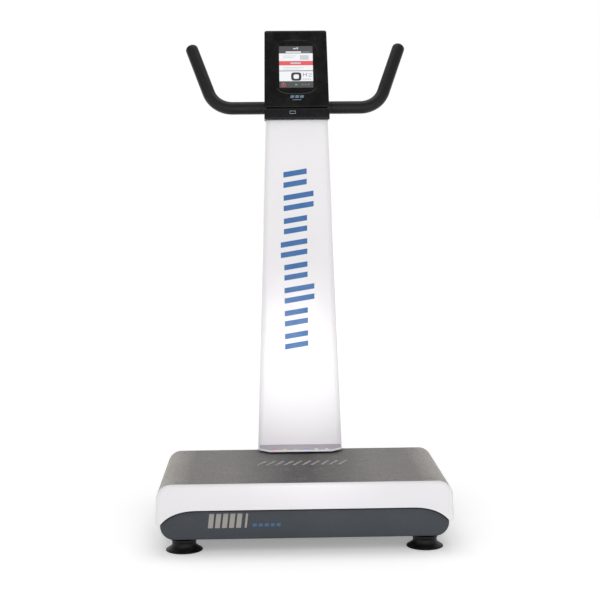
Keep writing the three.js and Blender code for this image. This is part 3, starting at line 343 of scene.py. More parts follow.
# %% Touch finishes
def grip_rubber():
    recipe = Recipe("grip_rubber", Specular_IOR_Level=0.28)
    tone = recipe.ramp(recipe.noise(14.0, 4.0), 0.0, 1.0, 0.35, 0.65)
    base = recipe.mix(tone, colour_of(9, 9, 9), colour_of(14, 14, 14))
    dust = recipe.ramp(recipe.noise(160.0, 5.0, 0.7), 0.0, 0.35, 0.6, 0.78)
    recipe.colour(recipe.mix(dust, base, colour_of(48, 47, 46)))
    recipe.roughness(recipe.ramp(recipe.noise(30.0, 3.0), 0.36, 0.5, 0.3, 0.7))
    recipe.bump((recipe.cells(1100.0), 0.45, 0.0002), (recipe.noise(420.0, 2.0), 0.25, 0.0002))
    return recipe.material


def piano_black():
    recipe = Recipe("piano_black", Specular_IOR_Level=0.12, Coat_Weight=0.06, Coat_Roughness=0.04)
    smudge = recipe.ramp(recipe.noise(26.0, 6.0, 0.66), 0.0, 1.0, 0.42, 0.72)
    recipe.colour(recipe.mix(smudge, colour_of(9, 9, 9), colour_of(27, 26, 25)))
    recipe.roughness(recipe.ramp(smudge, 0.1, 0.34))
    hair = recipe.noise(1.0, 2.0, 0.5, recipe.stretched((2600.0, 60.0, 2600.0)))
    recipe.bump((hair, 0.05, 0.00003))
    return recipe.material


def band_gloss():
    recipe = Recipe("band_gloss", Specular_IOR_Level=0.16, Coat_Weight=0.12, Coat_Roughness=0.08)
    smudge = recipe.ramp(recipe.noise(30.0, 5.0, 0.6), 0.0, 1.0, 0.4, 0.7)
    recipe.colour(recipe.mix(smudge, colour_of(12, 12, 16), colour_of(24, 24, 30)))
    recipe.roughness(recipe.ramp(smudge, 0.14, 0.3))
    recipe.bump((recipe.noise(500.0, 2.0), 0.04, 0.00003))
    return recipe.material


def matt_black():
    recipe = Recipe("matt_black", Specular_IOR_Level=0.3)
    tone = recipe.ramp(recipe.noise(12.0, 3.0), 0.0, 1.0, 0.35, 0.65)
    recipe.colour(recipe.mix(tone, colour_of(22, 22, 23), colour_of(30, 30, 32)))
    recipe.roughness(recipe.ramp(recipe.noise(70.0, 3.0), 0.45, 0.6, 0.3, 0.7))
    recipe.bump((recipe.cells(1300.0), 0.4, 0.00012))
    return recipe.material


def foot_rubber():
    recipe = Recipe("foot_rubber", Specular_IOR_Level=0.28)
    dust = recipe.ramp(recipe.noise(55.0, 6.0, 0.7), 0.0, 0.8, 0.5, 0.78)
    recipe.colour(recipe.mix(dust, colour_of(10, 10, 10), colour_of(42, 41, 40)))
    recipe.roughness(recipe.ramp(dust, 0.42, 0.75))
    recipe.bump((recipe.noise(700.0, 3.0), 0.35, 0.00015))
    return recipe.material


def painted_steel():
    recipe = Recipe("powder_coat", Metallic=0.0, Coat_Weight=0.2, Coat_Roughness=0.3)
    tone = recipe.ramp(recipe.noise(18.0, 3.0), 0.0, 1.0, 0.35, 0.65)
    base = recipe.mix(tone, colour_of(58, 61, 66), colour_of(67, 70, 75))
    recipe.colour(recipe.mix(recipe.edges(0.0012), base, colour_of(138, 140, 142)))
    recipe.roughness(recipe.ramp(recipe.noise(90.0, 3.0), 0.36, 0.5, 0.3, 0.7))
    recipe.bump((recipe.noise(1100.0, 2.0), 0.4, 0.00015))
    return recipe.material


def turned_steel():
    recipe = Recipe("turned_steel", Metallic=1.0)
    rings = recipe.noise(1.0, 3.0, 0.6, recipe.stretched((40.0, 2400.0, 40.0)))
    recipe.colour(recipe.mix(recipe.ramp(rings, 0.0, 1.0, 0.3, 0.7), colour_of(176, 178, 181),
                             colour_of(204, 205, 207)))
    recipe.roughness(recipe.ramp(rings, 0.2, 0.36, 0.3, 0.7))
    recipe.bump((rings, 0.2, 0.00005))
    return recipe.material


def cast_iron():
    recipe = Recipe("cast_iron", Metallic=0.75)
    oil = recipe.ramp(recipe.noise(28.0, 5.0), 0.0, 1.0, 0.4, 0.65)
    base = recipe.mix(oil, colour_of(84, 86, 88), colour_of(62, 61, 60))
    recipe.colour(recipe.mix(recipe.edges(0.001), base, colour_of(150, 150, 150)))
    recipe.roughness(recipe.ramp(oil, 0.62, 0.42))
    recipe.bump((recipe.noise(520.0, 4.0, 0.6), 0.6, 0.0004))
    return recipe.material


def sintered_bronze():
    recipe = Recipe("sintered_bronze", Metallic=1.0)
    pores = recipe.ramp(recipe.cells(1500.0), 1.0, 0.0, 0.05, 0.25)
    recipe.colour(recipe.mix(pores, colour_of(176, 138, 84), colour_of(104, 78, 46)))
    recipe.roughness(recipe.ramp(recipe.noise(60.0, 3.0), 0.3, 0.45, 0.3, 0.7))
    recipe.bump((pores, 0.3, 0.0001))
    return recipe.material


GRIP = grip_rubber()
GLOSS = piano_black()
BAND_GLOSS = band_gloss()
MATT = matt_black()
FOOT = foot_rubber()
PAINT = painted_steel()
STEEL = turned_steel()
IRON = cast_iron()
BRONZE = sintered_bronze()
print("finishes so far:", len(bpy.data.materials))

# %% [markdown]
# ## Mesh helpers
#
# Most shells here are lofts: one cross-section outline carried along an axis, with the sections inset
# near the ends to round them. `loft` joins rings of points into quads, and `piece` turns the points
# into an object at the origin.


# %% Mesh helpers
def piece(name, points, faces, material, body, replaced=(), smooth=32.0):
    """A finished object from plain lists, riding on its body."""
    mesh = bpy.data.meshes.new(name)
    mesh.from_pydata([tuple(p) for p in points], [], faces)
    mesh.validate()
    return dressed(name, mesh, material, body, replaced, smooth)


def dressed(name, mesh, material, body, replaced=(), smooth=32.0):
    mesh.materials.clear()
    mesh.materials.append(material)
    if smooth:
        mesh.shade_smooth()
        mesh.set_sharp_from_angle(angle=math.radians(smooth))
    made = bpy.data.objects.new(name, mesh)
    scene.collection.objects.link(made)
    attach(made, body)
    if replaced:
        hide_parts(*replaced)
    return made


def loft(rings, closed=False, start=0):
    """Quads between rings of equally many points; start is the first point's number."""
    faces = []
    count = len(rings[0])
    spans = count if closed else count - 1
    for ring in range(len(rings) - 1):
        for i in range(spans):
            a = start + ring * count + i
            b = start + ring * count + (i + 1) % count
            faces.append((a, b, b + count, a + count))
    return faces


def outward(mesh):
    """Merges doubled points, splits wide caps and turns every face to the outside."""
    work = bmesh.new()
    work.from_mesh(mesh)
    bmesh.ops.remove_doubles(work, verts=work.verts, dist=1e-6)
    caps = [face for face in work.faces if len(face.verts) > 8]
    bmesh.ops.triangulate(work, faces=caps, ngon_method="EAR_CLIP")
    bmesh.ops.recalc_face_normals(work, faces=work.faces)
    work.to_mesh(mesh)
    work.free()
    return mesh


def thickened(made, thickness, bevel=0.0, segments=2):
    """Gives a shell its wall, then softens its edges."""
    wall = made.modifiers.new("wall", "SOLIDIFY")
    wall.thickness = thickness
    wall.offset = -1.0
    if bevel:
        softened(made, bevel, segments)
    return made


def softened(made, width, segments=2, angle=35.0):
    soft = made.modifiers.new("soft_edges", "BEVEL")
    soft.width = width
    soft.segments = segments
    soft.limit_method = "ANGLE"
    soft.angle_limit = math.radians(angle)
    soft.harden_normals = True
    return made


def arc(centre_x, centre_z, radius, start, end, count, wider=0.0):
    """Points on an arc, angles in degrees, both ends included; wider is added to its half width."""
    turned = [math.radians(start + (end - start) * i / count) for i in range(count + 1)]
    return [(centre_x + (radius + wider) * math.cos(a), centre_z + radius * math.sin(a)) for a in turned]


def box_of(node):
    low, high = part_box(node)
    return Vector(low), Vector(high)


# %% [markdown]
# ## Growing repeats with Geometry Nodes
#
# Screws, vents, lamps, treads and ribs all repeat. Each comes from a node tree built here, with its
# sizes as named inputs. The tree ends in Realize Instances and Set Material, and the evaluated result
# is copied to a plain mesh, so nothing live is left on the finished piece.


# %% Geometry Nodes helpers
class Tree:
    """A geometry node tree under construction."""

    def __init__(self, name, **inputs):
        kinds = {float: "NodeSocketFloat", int: "NodeSocketInt", Vector: "NodeSocketVector"}
        self.group = bpy.data.node_groups.new(name, "GeometryNodeTree")
        face = self.group.interface
        face.new_socket("Geometry", in_out="INPUT", socket_type="NodeSocketGeometry")
        face.new_socket("Geometry", in_out="OUTPUT", socket_type="NodeSocketGeometry")
        for key, value in inputs.items():
            face.new_socket(key.replace("_", " "), in_out="INPUT", socket_type=kinds[type(value)])
        self.values = {key.replace("_", " "): value for key, value in inputs.items()}
        self.start = self.group.nodes.new("NodeGroupInput")
        self.end = self.group.nodes.new("NodeGroupOutput")

    def __getitem__(self, name):
        return self.start.outputs[name.replace("_", " ")]

    def node(self, kind, inputs=None, **settings):
        return add_node(self.group, kind, inputs, settings)

    def maths(self, operation, first, second):
        return self.node("ShaderNodeMath", {0: first, 1: second}, operation=operation).outputs[0]

    def vector(self, x=0.0, y=0.0, z=0.0):
        return self.node("ShaderNodeCombineXYZ", {"X": x, "Y": y, "Z": z}).outputs[0]

    def moved(self, geometry, by=None, turn=None, scale=None):
        inputs = {"Geometry": geometry}
        if by is not None:
            inputs["Translation"] = by
        if turn is not None:
            inputs["Rotation"] = turn
        if scale is not None:
            inputs["Scale"] = scale
        return self.node("GeometryNodeTransform", inputs).outputs[0]

    def joined(self, *parts):
        made = self.node("GeometryNodeJoinGeometry")
        for part in reversed(parts):
            self.group.links.new(part, made.inputs[0])
        return made.outputs[0]

    def placed(self, points, instance, turn=None):
        inputs = {"Points": points, "Instance": instance}
        if turn is not None:
            inputs["Rotation"] = turn
        return self.node("GeometryNodeInstanceOnPoints", inputs).outputs[0]

    def grown(self, name, material, body, slot, carrier=(), replaced=(), smooth=32.0, place=None):
        """Runs the tree on a carrier of loose points and returns the plain finished piece."""
        real = self.node("GeometryNodeRealizeInstances", {"Geometry": self.result})
        coloured = self.node("GeometryNodeSetMaterial", {"Geometry": real.outputs[0]})
        coloured.inputs["Material"].default_value = material
        self.group.links.new(coloured.outputs[0], self.end.inputs[0])
        mesh = bpy.data.meshes.new(name + "_carrier")
        mesh.from_pydata([tuple(p) for p in carrier], [], [])
        seed = bpy.data.objects.new(name + "_carrier", mesh)
        scene.collection.objects.link(seed)
        grower = seed.modifiers.new("grower", "NODES")
        grower.node_group = self.group
        for item in self.group.interface.items_tree:
            if item.in_out == "INPUT" and item.name in self.values:
                grower[item.identifier] = self.values[item.name]
        graph = bpy.context.evaluated_depsgraph_get()
        made = bpy.data.meshes.new_from_object(seed.evaluated_get(graph))
        bpy.data.objects.remove(seed)
        if place is not None:
            made.transform(place)
        return dressed(name, outward(made), material, body, replaced, smooth)


def dome_screw_tree(name, radius, turn):
    """Low dome heads with a hexagon socket, one on each carrier point; +Z of the head is turned."""
    tree = Tree(name, Head_Radius=radius, Head_Height=radius * 0.62, Socket_Depth=radius * 0.4)
    dome = tree.node("GeometryNodeMeshUVSphere", {
        "Segments": 24, "Rings": 12, "Radius": tree["Head_Radius"]})
    flat = tree.maths("DIVIDE", tree["Head_Height"], tree["Head_Radius"])
    head = tree.moved(dome.outputs["Mesh"], scale=tree.vector(1.0, 1.0, flat))
    socket = tree.node("GeometryNodeMeshCylinder", {
        "Vertices": 6, "Radius": tree.maths("MULTIPLY", tree["Head_Radius"], 0.5),
        "Depth": tree.maths("MULTIPLY", tree["Socket_Depth"], 2.0)})
    hollow = tree.moved(socket.outputs["Mesh"], by=tree.vector(z=tree["Head_Height"]))
    cut_head = tree.node("GeometryNodeMeshBoolean", {"Mesh 1": head}, operation="DIFFERENCE")
    tree.group.links.new(hollow, cut_head.inputs["Mesh 2"])
    tree.result = tree.placed(tree["Geometry"], cut_head.outputs[0], turn)
    return tree


def bar_row_tree(name, count, pitch, size, start=(0, 0, 0), turn=(0, 0, 0)):
    """A row of blocks, each of one size and turn, a pitch apart."""
    tree = Tree(name, Count=count, Pitch=Vector(pitch), Bar_Size=Vector(size))
    line = tree.node("GeometryNodeMeshLine", {
        "Count": tree["Count"], "Start Location": start, "Offset": tree["Pitch"]})
    block = tree.node("GeometryNodeMeshCube", {"Size": tree["Bar_Size"]})
    tree.result = tree.placed(line.outputs[0], block.outputs[0], turn)
    return tree


def ring_row_tree(name, count, radius, size, axis_turn=(0, 0, 0)):
    """Blocks round a circle, each with its X pointing outward."""
    tree = Tree(name, Count=count, Ring_Radius=radius, Block_Size=Vector(size))
    circle = tree.node("GeometryNodeMeshCircle", {"Vertices": tree["Count"], "Radius": tree["Ring_Radius"]})
    place = tree.node("GeometryNodeInputPosition").outputs[0]
    facing = tree.node("FunctionNodeAlignEulerToVector", {"Vector": place}, axis="X")
    block = tree.node("GeometryNodeMeshCube", {"Size": tree["Block_Size"]})
    ring = tree.placed(circle.outputs[0], block.outputs[0], facing.outputs[0])
    tree.result = tree.moved(ring, turn=axis_turn)
    return tree


# %% [markdown]
# ## Platform skirt
#
# The skirt is one white moulding: a flat top under the mat, rolled shoulders, a front band whose lower
# edge arches up between two hanging corners, and thin side walls that flare a little. It is lofted
# along Y from one outline. The top sinks by the mat's thickness where the mat lies in it.

# %% Skirt sizes and outline
skirt_low, skirt_high = box_of("platform_skirt")
mat_low, mat_high = box_of("tread_mat")
HALF_WIDTH = skirt_high.x
SKIRT_FLARE = 2.5 * MM
SHOULDER = 35 * MM
END_ROUNDING = 7 * MM
SIDE_ROUNDING = 1.9
MAT_THICKNESS = 5 * MM
MAT_GAP = 0.3 * MM
SEAT = MAT_THICKNESS + MAT_GAP
SKIRT_WALL = 4 * MM
SHOULDER_X = HALF_WIDTH - SKIRT_FLARE - SHOULDER
SHOULDER_Z = mat_high.z - SHOULDER
MAT_ANGLE = math.degrees(math.asin((mat_low.z - SHOULDER_Z) / SHOULDER))
BAND_BOTTOM = 105 * MM
REAR_BOTTOM = 123 * MM


def both_sides(right):
    """A right-hand outline from the foot to the top, made whole from left foot to right foot."""
    return [(-x, z) for x, z in right] + [(x, z) for x, z in reversed(right)]


def platform_outline(inset, sink=0.0):
    right = []
    for z in (skirt_low.z, 0.09, BAND_BOTTOM, REAR_BOTTOM):
        share = (z - skirt_low.z) / (SHOULDER_Z - skirt_low.z)
        right.append((HALF_WIDTH - SKIRT_FLARE * share - inset * SIDE_ROUNDING, z))
    right += arc(SHOULDER_X, SHOULDER_Z, SHOULDER - inset, 0, MAT_ANGLE, 2, inset * (1 - SIDE_ROUNDING))
    right += arc(SHOULDER_X, SHOULDER_Z, SHOULDER - inset - sink, MAT_ANGLE, 90, 14,
                 inset * (1 - SIDE_ROUNDING))
    top = mat_high.z - inset - sink
    right += [(SHOULDER_X * share, top) for share in (0.75, 0.5, 0.25)]
    return both_sides(right)


def at_depth(outline, y):
    return [(x, y, z) for x, z in outline]


def rounded_ends(front, back, radius, middle, steps=5):
    """(y, inset) pairs that round both ends of a loft, with the given pairs between them."""
    turns = [math.pi / 2 * i / steps for i in range(steps + 1)]
    first = [(front + radius * (1 - math.sin(a)), radius * (1 - math.cos(a))) for a in reversed(turns)]
    last = [(back - radius * (1 - math.sin(a)), radius * (1 - math.cos(a))) for a in turns]
    return [(y, inset, 0.0) for y, inset in first] + middle + [(y, inset, 0.0) for y, inset in last]


# %% Skirt
ARCH_FLAT_INSET = 98 * MM
ARCH_PULL = 58 * MM


def arch(side_x, flat_x, low, high, count=14):
    """The band's lower edge, from the right corner up, across and down to the left corner."""
    right = []
    for i in range(count + 1):
        t = i / count
        x = (1 - t) ** 2 * side_x + 2 * t * (1 - t) * (flat_x + ARCH_PULL) + t ** 2 * flat_x
        z = (1 - t) ** 2 * low + 2 * t * (1 - t) * high + t ** 2 * high
        right.append((x, z))
    return right + [(-x, z) for x, z in reversed(right)]


mat_front = skirt_low.y + END_ROUNDING + 1 * MM
mat_back = skirt_high.y - END_ROUNDING - 1 * MM
seat = [(mat_front - MAT_GAP, 0.0, 0.0), (mat_front - MAT_GAP, 0.0, SEAT),
        (mat_back + MAT_GAP, 0.0, SEAT), (mat_back + MAT_GAP, 0.0, 0.0)]
sections = rounded_ends(skirt_low.y, skirt_high.y, END_ROUNDING, seat)
rings = [at_depth(platform_outline(inset, sink), y) for y, inset, sink in sections]
points = [p for ring in rings for p in ring]
faces = loft(rings)
width_of_ring = len(rings[0])
edge = arch(HALF_WIDTH - END_ROUNDING * SIDE_ROUNDING - 0.5 * MM, HALF_WIDTH - ARCH_FLAT_INSET,
            skirt_low.z + 1 * MM, BAND_BOTTOM)
first_edge = len(points)
points += [(x, skirt_low.y, z) for x, z in edge]
faces.append(tuple(range(width_of_ring)) + tuple(range(first_edge, first_edge + len(edge))))
last_ring = len(rings) - 1
rear = range(last_ring * width_of_ring + 3, (last_ring + 1) * width_of_ring - 3)
faces.append(tuple(reversed(rear)))
skirt = piece("platform_skirt_shell", points, faces, WHITE, "platform",
              ["platform_skirt"])
outward(skirt.data)
thickened(skirt, SKIRT_WALL, 1.2 * MM, 3)
print("skirt faces:", len(skirt.data.polygons))

# %% [markdown]
# ## Tread mat
#
# A rubber mat lies in the seat and rolls over both shoulders. It is the same loft without the seat,
# from edge to edge of the rubber. Small raised rings and arrowheads near its corners show where feet
# go, and a faint row of raised bars lies in front of the column. They are grown with Geometry Nodes.


# %% Mat
def mat_outline():
    trim = 0.5
    right = arc(SHOULDER_X, SHOULDER_Z, SHOULDER, MAT_ANGLE + trim, 90, 16)
    right += [(SHOULDER_X * share, mat_high.z) for share in (0.8, 0.6, 0.4, 0.2)]
    return both_sides(right)


stations = [mat_front + (mat_back - mat_front) * i / 8 for i in range(9)]
rings = [at_depth(mat_outline(), y) for y in stations]
mat = piece("tread_mat_rubber", [p for ring in rings for p in ring], loft(rings), TREAD, "platform",
            ["tread_mat"])
outward(mat.data)
thickened(mat, MAT_THICKNESS, 1.4 * MM, 3)


def curve_circle(tree, resolution, radius):
    return tree.node("GeometryNodeCurvePrimitiveCircle", {
        "Resolution": resolution, "Radius": tree[radius]}).outputs[0]


def ring_mark_tree(name, ring_radius, bead):
    """A raised ring on each carrier point."""
    tree = Tree(name, Ring_Radius=ring_radius, Bead_Radius=bead)
    section = curve_circle(tree, 8, "Bead_Radius")
    bead_ring = tree.node("GeometryNodeCurveToMesh", {
        "Curve": curve_circle(tree, 36, "Ring_Radius"), "Profile Curve": section})
    tree.result = tree.placed(tree["Geometry"], tree.joined(bead_ring.outputs[0]))
    return tree


def arrow_tree(name, reach, bead):
    """A raised arrowhead on each carrier point, pointing backward."""
    tree = Tree(name, Reach=reach, Bead_Radius=bead)
    section = curve_circle(tree, 8, "Bead_Radius")
    parts = []
    for side in (-1.0, 1.0):
        across = tree.maths("MULTIPLY", tree["Reach"], side)
        line = tree.node("GeometryNodeCurvePrimitiveLine", {
            "Start": tree.vector(across, 0.0, 0.0), "End": tree.vector(0.0, tree["Reach"], 0.0)})
        swept = tree.node("GeometryNodeCurveToMesh", {
            "Curve": line.outputs[0], "Profile Curve": section, "Fill Caps": True})
        parts.append(swept.outputs[0])
    tree.result = tree.placed(tree["Geometry"], tree.joined(*parts))
    return tree


RING_X, ARROW_X = 0.295, 0.222
MARK_BEAD = 0.9 * MM
MAT_BAR_COUNT, MAT_BAR_PITCH = 10, 0.0225
MAT_BAR_SIZE = (7 * MM, 52 * MM, 2.4 * MM)
MAT_BAR_SLANT = math.radians(-24)
mark_z = mat_high.z
ring_spots = [(s * RING_X, y, mark_z) for s in (-1, 1) for y in (mat_front + 0.026, mat_back - 0.026)]
arrow_spots = [(s * ARROW_X, y, mark_z) for s in (-1, 1) for y in (mat_front + 0.02, mat_back - 0.03)]
ring_mark_tree("ring_marks", 8 * MM, MARK_BEAD).grown(
    "mat_ring_marks", WORN, "platform", "tread_rubber", ring_spots)
arrow_tree("arrow_marks", 9 * MM, MARK_BEAD).grown(
    "mat_arrow_marks", WORN, "platform", "tread_rubber", arrow_spots)
bar_row_tree("mat_bars", MAT_BAR_COUNT, (MAT_BAR_PITCH, 0.0, 0.0), MAT_BAR_SIZE,
             (-0.101, -0.05, mark_z), (0, 0, MAT_BAR_SLANT)).grown(
    "mat_raised_bars", WORN, "platform", "tread_rubber", [(0, 0, 0)])

# %% [markdown]
# ## Base tub
#
# The tub is one slate moulding with large rounded lower corners. It is lofted like the skirt, upside
# down, and two wheel wells are cut out of its back edge. Liners close the wells toward the inside.

# %% Tub
tub_low, tub_high = box_of("base_tub")
TUB_CORNER = 33 * MM
TUB_ROUNDING = 5 * MM
TUB_TOP = 112 * MM
TUB_WALL = 4 * MM


def tub_outline(inset):
    side = tub_high.x - inset
    radius = TUB_CORNER - inset
    low = tub_low.z + inset
    right = [(side * share, low) for share in (0.0, 0.3, 0.6)]
    right += arc(side - radius, low + radius, radius, -90, 0, 12)
    right += [(side, 0.09), (side, TUB_TOP)]
    return [(-x, z) for x, z in reversed(right)] + right[1:]


sections = rounded_ends(tub_low.y, tub_high.y, TUB_ROUNDING, [(0.0, 0.0, 0.0), (0.2, 0.0, 0.0)])
rings = [at_depth(tub_outline(inset), y) for y, inset, _ in sections]
points = [p for ring in rings for p in ring]
faces = loft(rings)
size = len(rings[0])
faces.append(tuple(range(size)))
faces.append(tuple(reversed(range((len(rings) - 1) * size, len(rings) * size))))
tub = piece("base_tub_shell", points, faces, SLATE, "base", ["base_tub"])
outward(tub.data)
thickened(tub, TUB_WALL)


def block(name, low, high):
    """A plain cutter or liner block between two corners."""
    mesh = bpy.data.meshes.new(name)
    corners = [(x, y, z) for x in (low[0], high[0]) for y in (low[1], high[1]) for z in (low[2], high[2])]
    mesh.from_pydata(corners, [], [(0, 1, 3, 2), (4, 6, 7, 5), (0, 4, 5, 1), (2, 3, 7, 6), (0, 2, 6, 4),
                                   (1, 5, 7, 3)])
    outward(mesh)
    made = bpy.data.objects.new(name, mesh)
    scene.collection.objects.link(made)
    return made


def carved(made, cutters):
    """Cuts blocks out of a piece for good and removes them."""
    for cutter in cutters:
        hole = made.modifiers.new("hole", "BOOLEAN")
        hole.operation = "DIFFERENCE"
        hole.object = cutter
        hole.solver = "EXACT"
    graph = bpy.context.evaluated_depsgraph_get()
    mesh = bpy.data.meshes.new_from_object(made.evaluated_get(graph))
    made.modifiers.clear()
    made.data = mesh
    for cutter in cutters:
        bpy.data.objects.remove(cutter)
    mesh.shade_smooth()
    mesh.set_sharp_from_angle(angle=math.radians(32))
    return made


wheel_boxes = [box_of("wheel_" + side) for side in ("left", "right")]
WELL_GAP = 4 * MM
wells = []
for low, high in wheel_boxes:
    wells.append(((low.x - WELL_GAP, low.y - WELL_GAP, -0.01),
                  (high.x + WELL_GAP, tub_high.y + 0.02, high.z + WELL_GAP)))
carved(tub, [block("well_cutter", low, high) for low, high in wells])
softened(tub, 0.9 * MM, 2)
points, faces = [], []
for low, high in wells:
    start = len(points)
    x0, y0, z0 = low[0], low[1], tub_low.z + 5 * MM
    x1, y1, z1 = high[0], tub_high.y - TUB_WALL, high[2]
    points += [(x0, y0, z0), (x0, y0, z1), (x0, y1, z1), (x0, y1, z0),
               (x1, y0, z0), (x1, y0, z1), (x1, y1, z1), (x1, y1, z0)]
    for face in ((0, 1, 2, 3), (4, 7, 6, 5), (1, 5, 6, 2), (0, 4, 5, 1)):
        faces.append(tuple(start + i for i in face))
liner = piece("wheel_well_liners", points, faces, SLATE, "base")
wall = liner.modifiers.new("wall", "SOLIDIFY")
wall.thickness = 3 * MM
wall.offset = 1.0
softened(liner, 0.8 * MM, 2)
print("tub faces:", len(tub.data.polygons))

# %% [markdown]
# ## Column covers
#
# The column narrows toward the console. Its front cover is a channel with rounded corners and its rear
# cover is a second channel that also loses depth on the way up. Both end level under the console.
# A fine parting line shows where they meet.

# %% Column covers
COLUMN_FRONT = box_of("column_front_cover")[0].y
COLUMN_SPLIT = COLUMN_FRONT + 30 * MM
COLUMN_BOTTOM = box_of("column_front_cover")[0].z
COLUMN_TOP = box_of("column_front_cover")[1].z
CONSOLE_OVERHANG = 19 * MM
CONSOLE_FOOT = Vector((0, COLUMN_FRONT - CONSOLE_OVERHANG, 1.029))
TILT = math.radians(21)
WIDTH_LOW, WIDTH_HIGH = 225 * MM, 161 * MM
DEPTH_LOW, DEPTH_HIGH = 108 * MM, 50 * MM
CORNER = 14 * MM
COVER_WALL = 3 * MM
PARTING_GAP = 0.4 * MM


def column_share(z):
    return (z - COLUMN_BOTTOM) / (CONSOLE_FOOT.z - COLUMN_BOTTOM)


def half_width(z):
    return (WIDTH_LOW + (WIDTH_HIGH - WIDTH_LOW) * column_share(z)) / 2


def cover_back(z):
    return COLUMN_FRONT + DEPTH_LOW + (DEPTH_HIGH - DEPTH_LOW) * column_share(z)


def front_point(step, z):
    """Point of the front channel: 0 and 1 are the rear ends, the middle is the front face."""
    side = half_width(z)
    kind, value = step
    if kind == "side":
        return (side, COLUMN_SPLIT + (COLUMN_FRONT + CORNER - COLUMN_SPLIT) * value)
    if kind == "corner":
        a = math.radians(90 * value)
        return (side - CORNER + CORNER * math.cos(a), COLUMN_FRONT + CORNER - CORNER * math.sin(a))
    return ((side - CORNER) * (1 - value), COLUMN_FRONT)


def rear_point(step, z):
    side = half_width(z)
    back = cover_back(z)
    front = COLUMN_SPLIT + PARTING_GAP
    kind, value = step
    if kind == "side":
        return (side, front + (back - CORNER - front) * value)
    if kind == "corner":
        a = math.radians(90 * value)
        return (side - CORNER + CORNER * math.cos(a), back - CORNER + CORNER * math.sin(a))
    return ((side - CORNER) * (1 - value), back)


STEPS = [("side", i / 4) for i in range(4)] + [("corner", i / 8) for i in range(9)]
STEPS += [("face", i / 4) for i in range(1, 5)]


def cover_rings(rule, levels=14):
    """Rings up the column, each a whole channel outline."""
    rings = []
    for level in range(levels + 1):
        z = COLUMN_BOTTOM + (COLUMN_TOP - COLUMN_BOTTOM) * level / levels
        half = [rule(step, z) + (z,) for step in STEPS]
        rings.append(half + [(-x, y, z) for x, y, z in reversed(half[:-1])])
    return rings


for name, rule in (("front", front_point), ("rear", rear_point)):
    rings = cover_rings(rule)
    cover = piece("column_%s_shell" % name, [p for ring in rings for p in ring], loft(rings), WHITE,
                  "base", ["column_%s_cover" % name])
    if name == "front":
        cover.data.flip_normals()
    thickened(cover, COVER_WALL, 0.9 * MM, 2)
    print(cover.name, "top", round(max(v.co.z for v in cover.data.vertices), 3))

# %% [markdown]
# ## Working parts
#
# The steel and iron parts inside keep their exact shape. A dressed copy of each has its flat facets
# merged, its edges softened and the right finish. One table says which part gets which finish.


# %% Dressed copies of the working parts
def refined(node, material, body, width=0.5 * MM, segments=2, smooth=38.0):
    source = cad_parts[node].data
    mesh = bpy.data.meshes.new(node + "_dressed")
    mesh.from_pydata([tuple(v.co) for v in source.vertices], [],
                     [tuple(p.vertices) for p in source.polygons])
    outward(mesh)
    work = bmesh.new()
    work.from_mesh(mesh)
    bmesh.ops.dissolve_limit(work, angle_limit=math.radians(0.8), verts=work.verts, edges=work.edges)
    work.to_mesh(mesh)
    work.free()
    made = dressed(node + "_dressed", mesh, material, body, [node], smooth)
    return softened(made, width, segments, 38.0)


PAIR = ("front", "rear")
WORKS = {
    ("painted_steel", "base"): ["base_frame_plate", "column_mast", "handlebar_tube", "motor_cradle"],
    ("painted_steel", "platform"): ["deck_plate"],
    ("slate_plastic", "base"): ["rear_deck_cover"],
    ("cast_iron", "base"): ["handlebar_clamp"] + ["pivot_stand_" + p for p in PAIR]
    + ["crank_pillow_" + p for p in PAIR],
    ("cast_iron", "platform"): [n + p for n in ("bearing_housing_", "rod_clevis_") for p in PAIR],
    ("bright_steel", "platform"): ["rod_pin_" + p for p in PAIR],
    ("bronze", "platform"): ["pivot_bush_" + p for p in PAIR],
    ("bright_steel", "base"): ["pivot_shaft", "charging_port", "wheel_axle_left", "wheel_axle_right"],
    ("bright_steel", "crank"): ["crankshaft"],
    ("cast_iron", "crank"): ["crank_pulley"],
    ("bright_steel", "motor_rotor"): ["motor_rotor_shaft"],
    ("cast_iron", "motor_rotor"): ["motor_pulley"],
    ("bright_steel", "rod_front"): ["connecting_rod_front"],
    ("bright_steel", "rod_rear"): ["connecting_rod_rear"],
    ("matt_black", "base"): ["motor_body", "drive_belt", "controller_box", "display_module",
                             "console_back_shell", "inlet_module", "console_cable"],
    ("matt_black", "fuse_tray"): ["fuse_drawer"],
    ("matt_black", "rocker"): ["rocker_switch"],
}
FINISHES = {"painted_steel": PAINT, "slate_plastic": SLATE, "cast_iron": IRON, "bright_steel": STEEL,
            "bronze": BRONZE, "matt_black": MATT, "gloss_black": GLOSS}
WIDE_EDGES = {"rear_deck_cover": 1.5 * MM, "console_back_shell": 1.6 * MM,
              "controller_box": 1.0 * MM, "motor_body": 1.2 * MM, "handlebar_clamp": 1.2 * MM}
for (slot, body), nodes in WORKS.items():
    for node in nodes:
        refined(node, FINISHES[slot], body, WIDE_EDGES.get(node, 0.4 * MM))
refined("console_lower_band", BAND_GLOSS, "base", 1.0 * MM)
print("dressed", 1 + sum(len(nodes) for nodes in WORKS.values()), "parts")

# %% [markdown]
# ## Console fascia
#
# The fascia is built from closed rings: up the side, round the edge, flat, down into a shallow
# lens-shaped recess round the screen, and into the screen's window. The rings live in the console's
# own leaning frame, x across, v up the face and w out of it, and are moved into place at the end.
# The face is a little narrower at its top than at its foot.

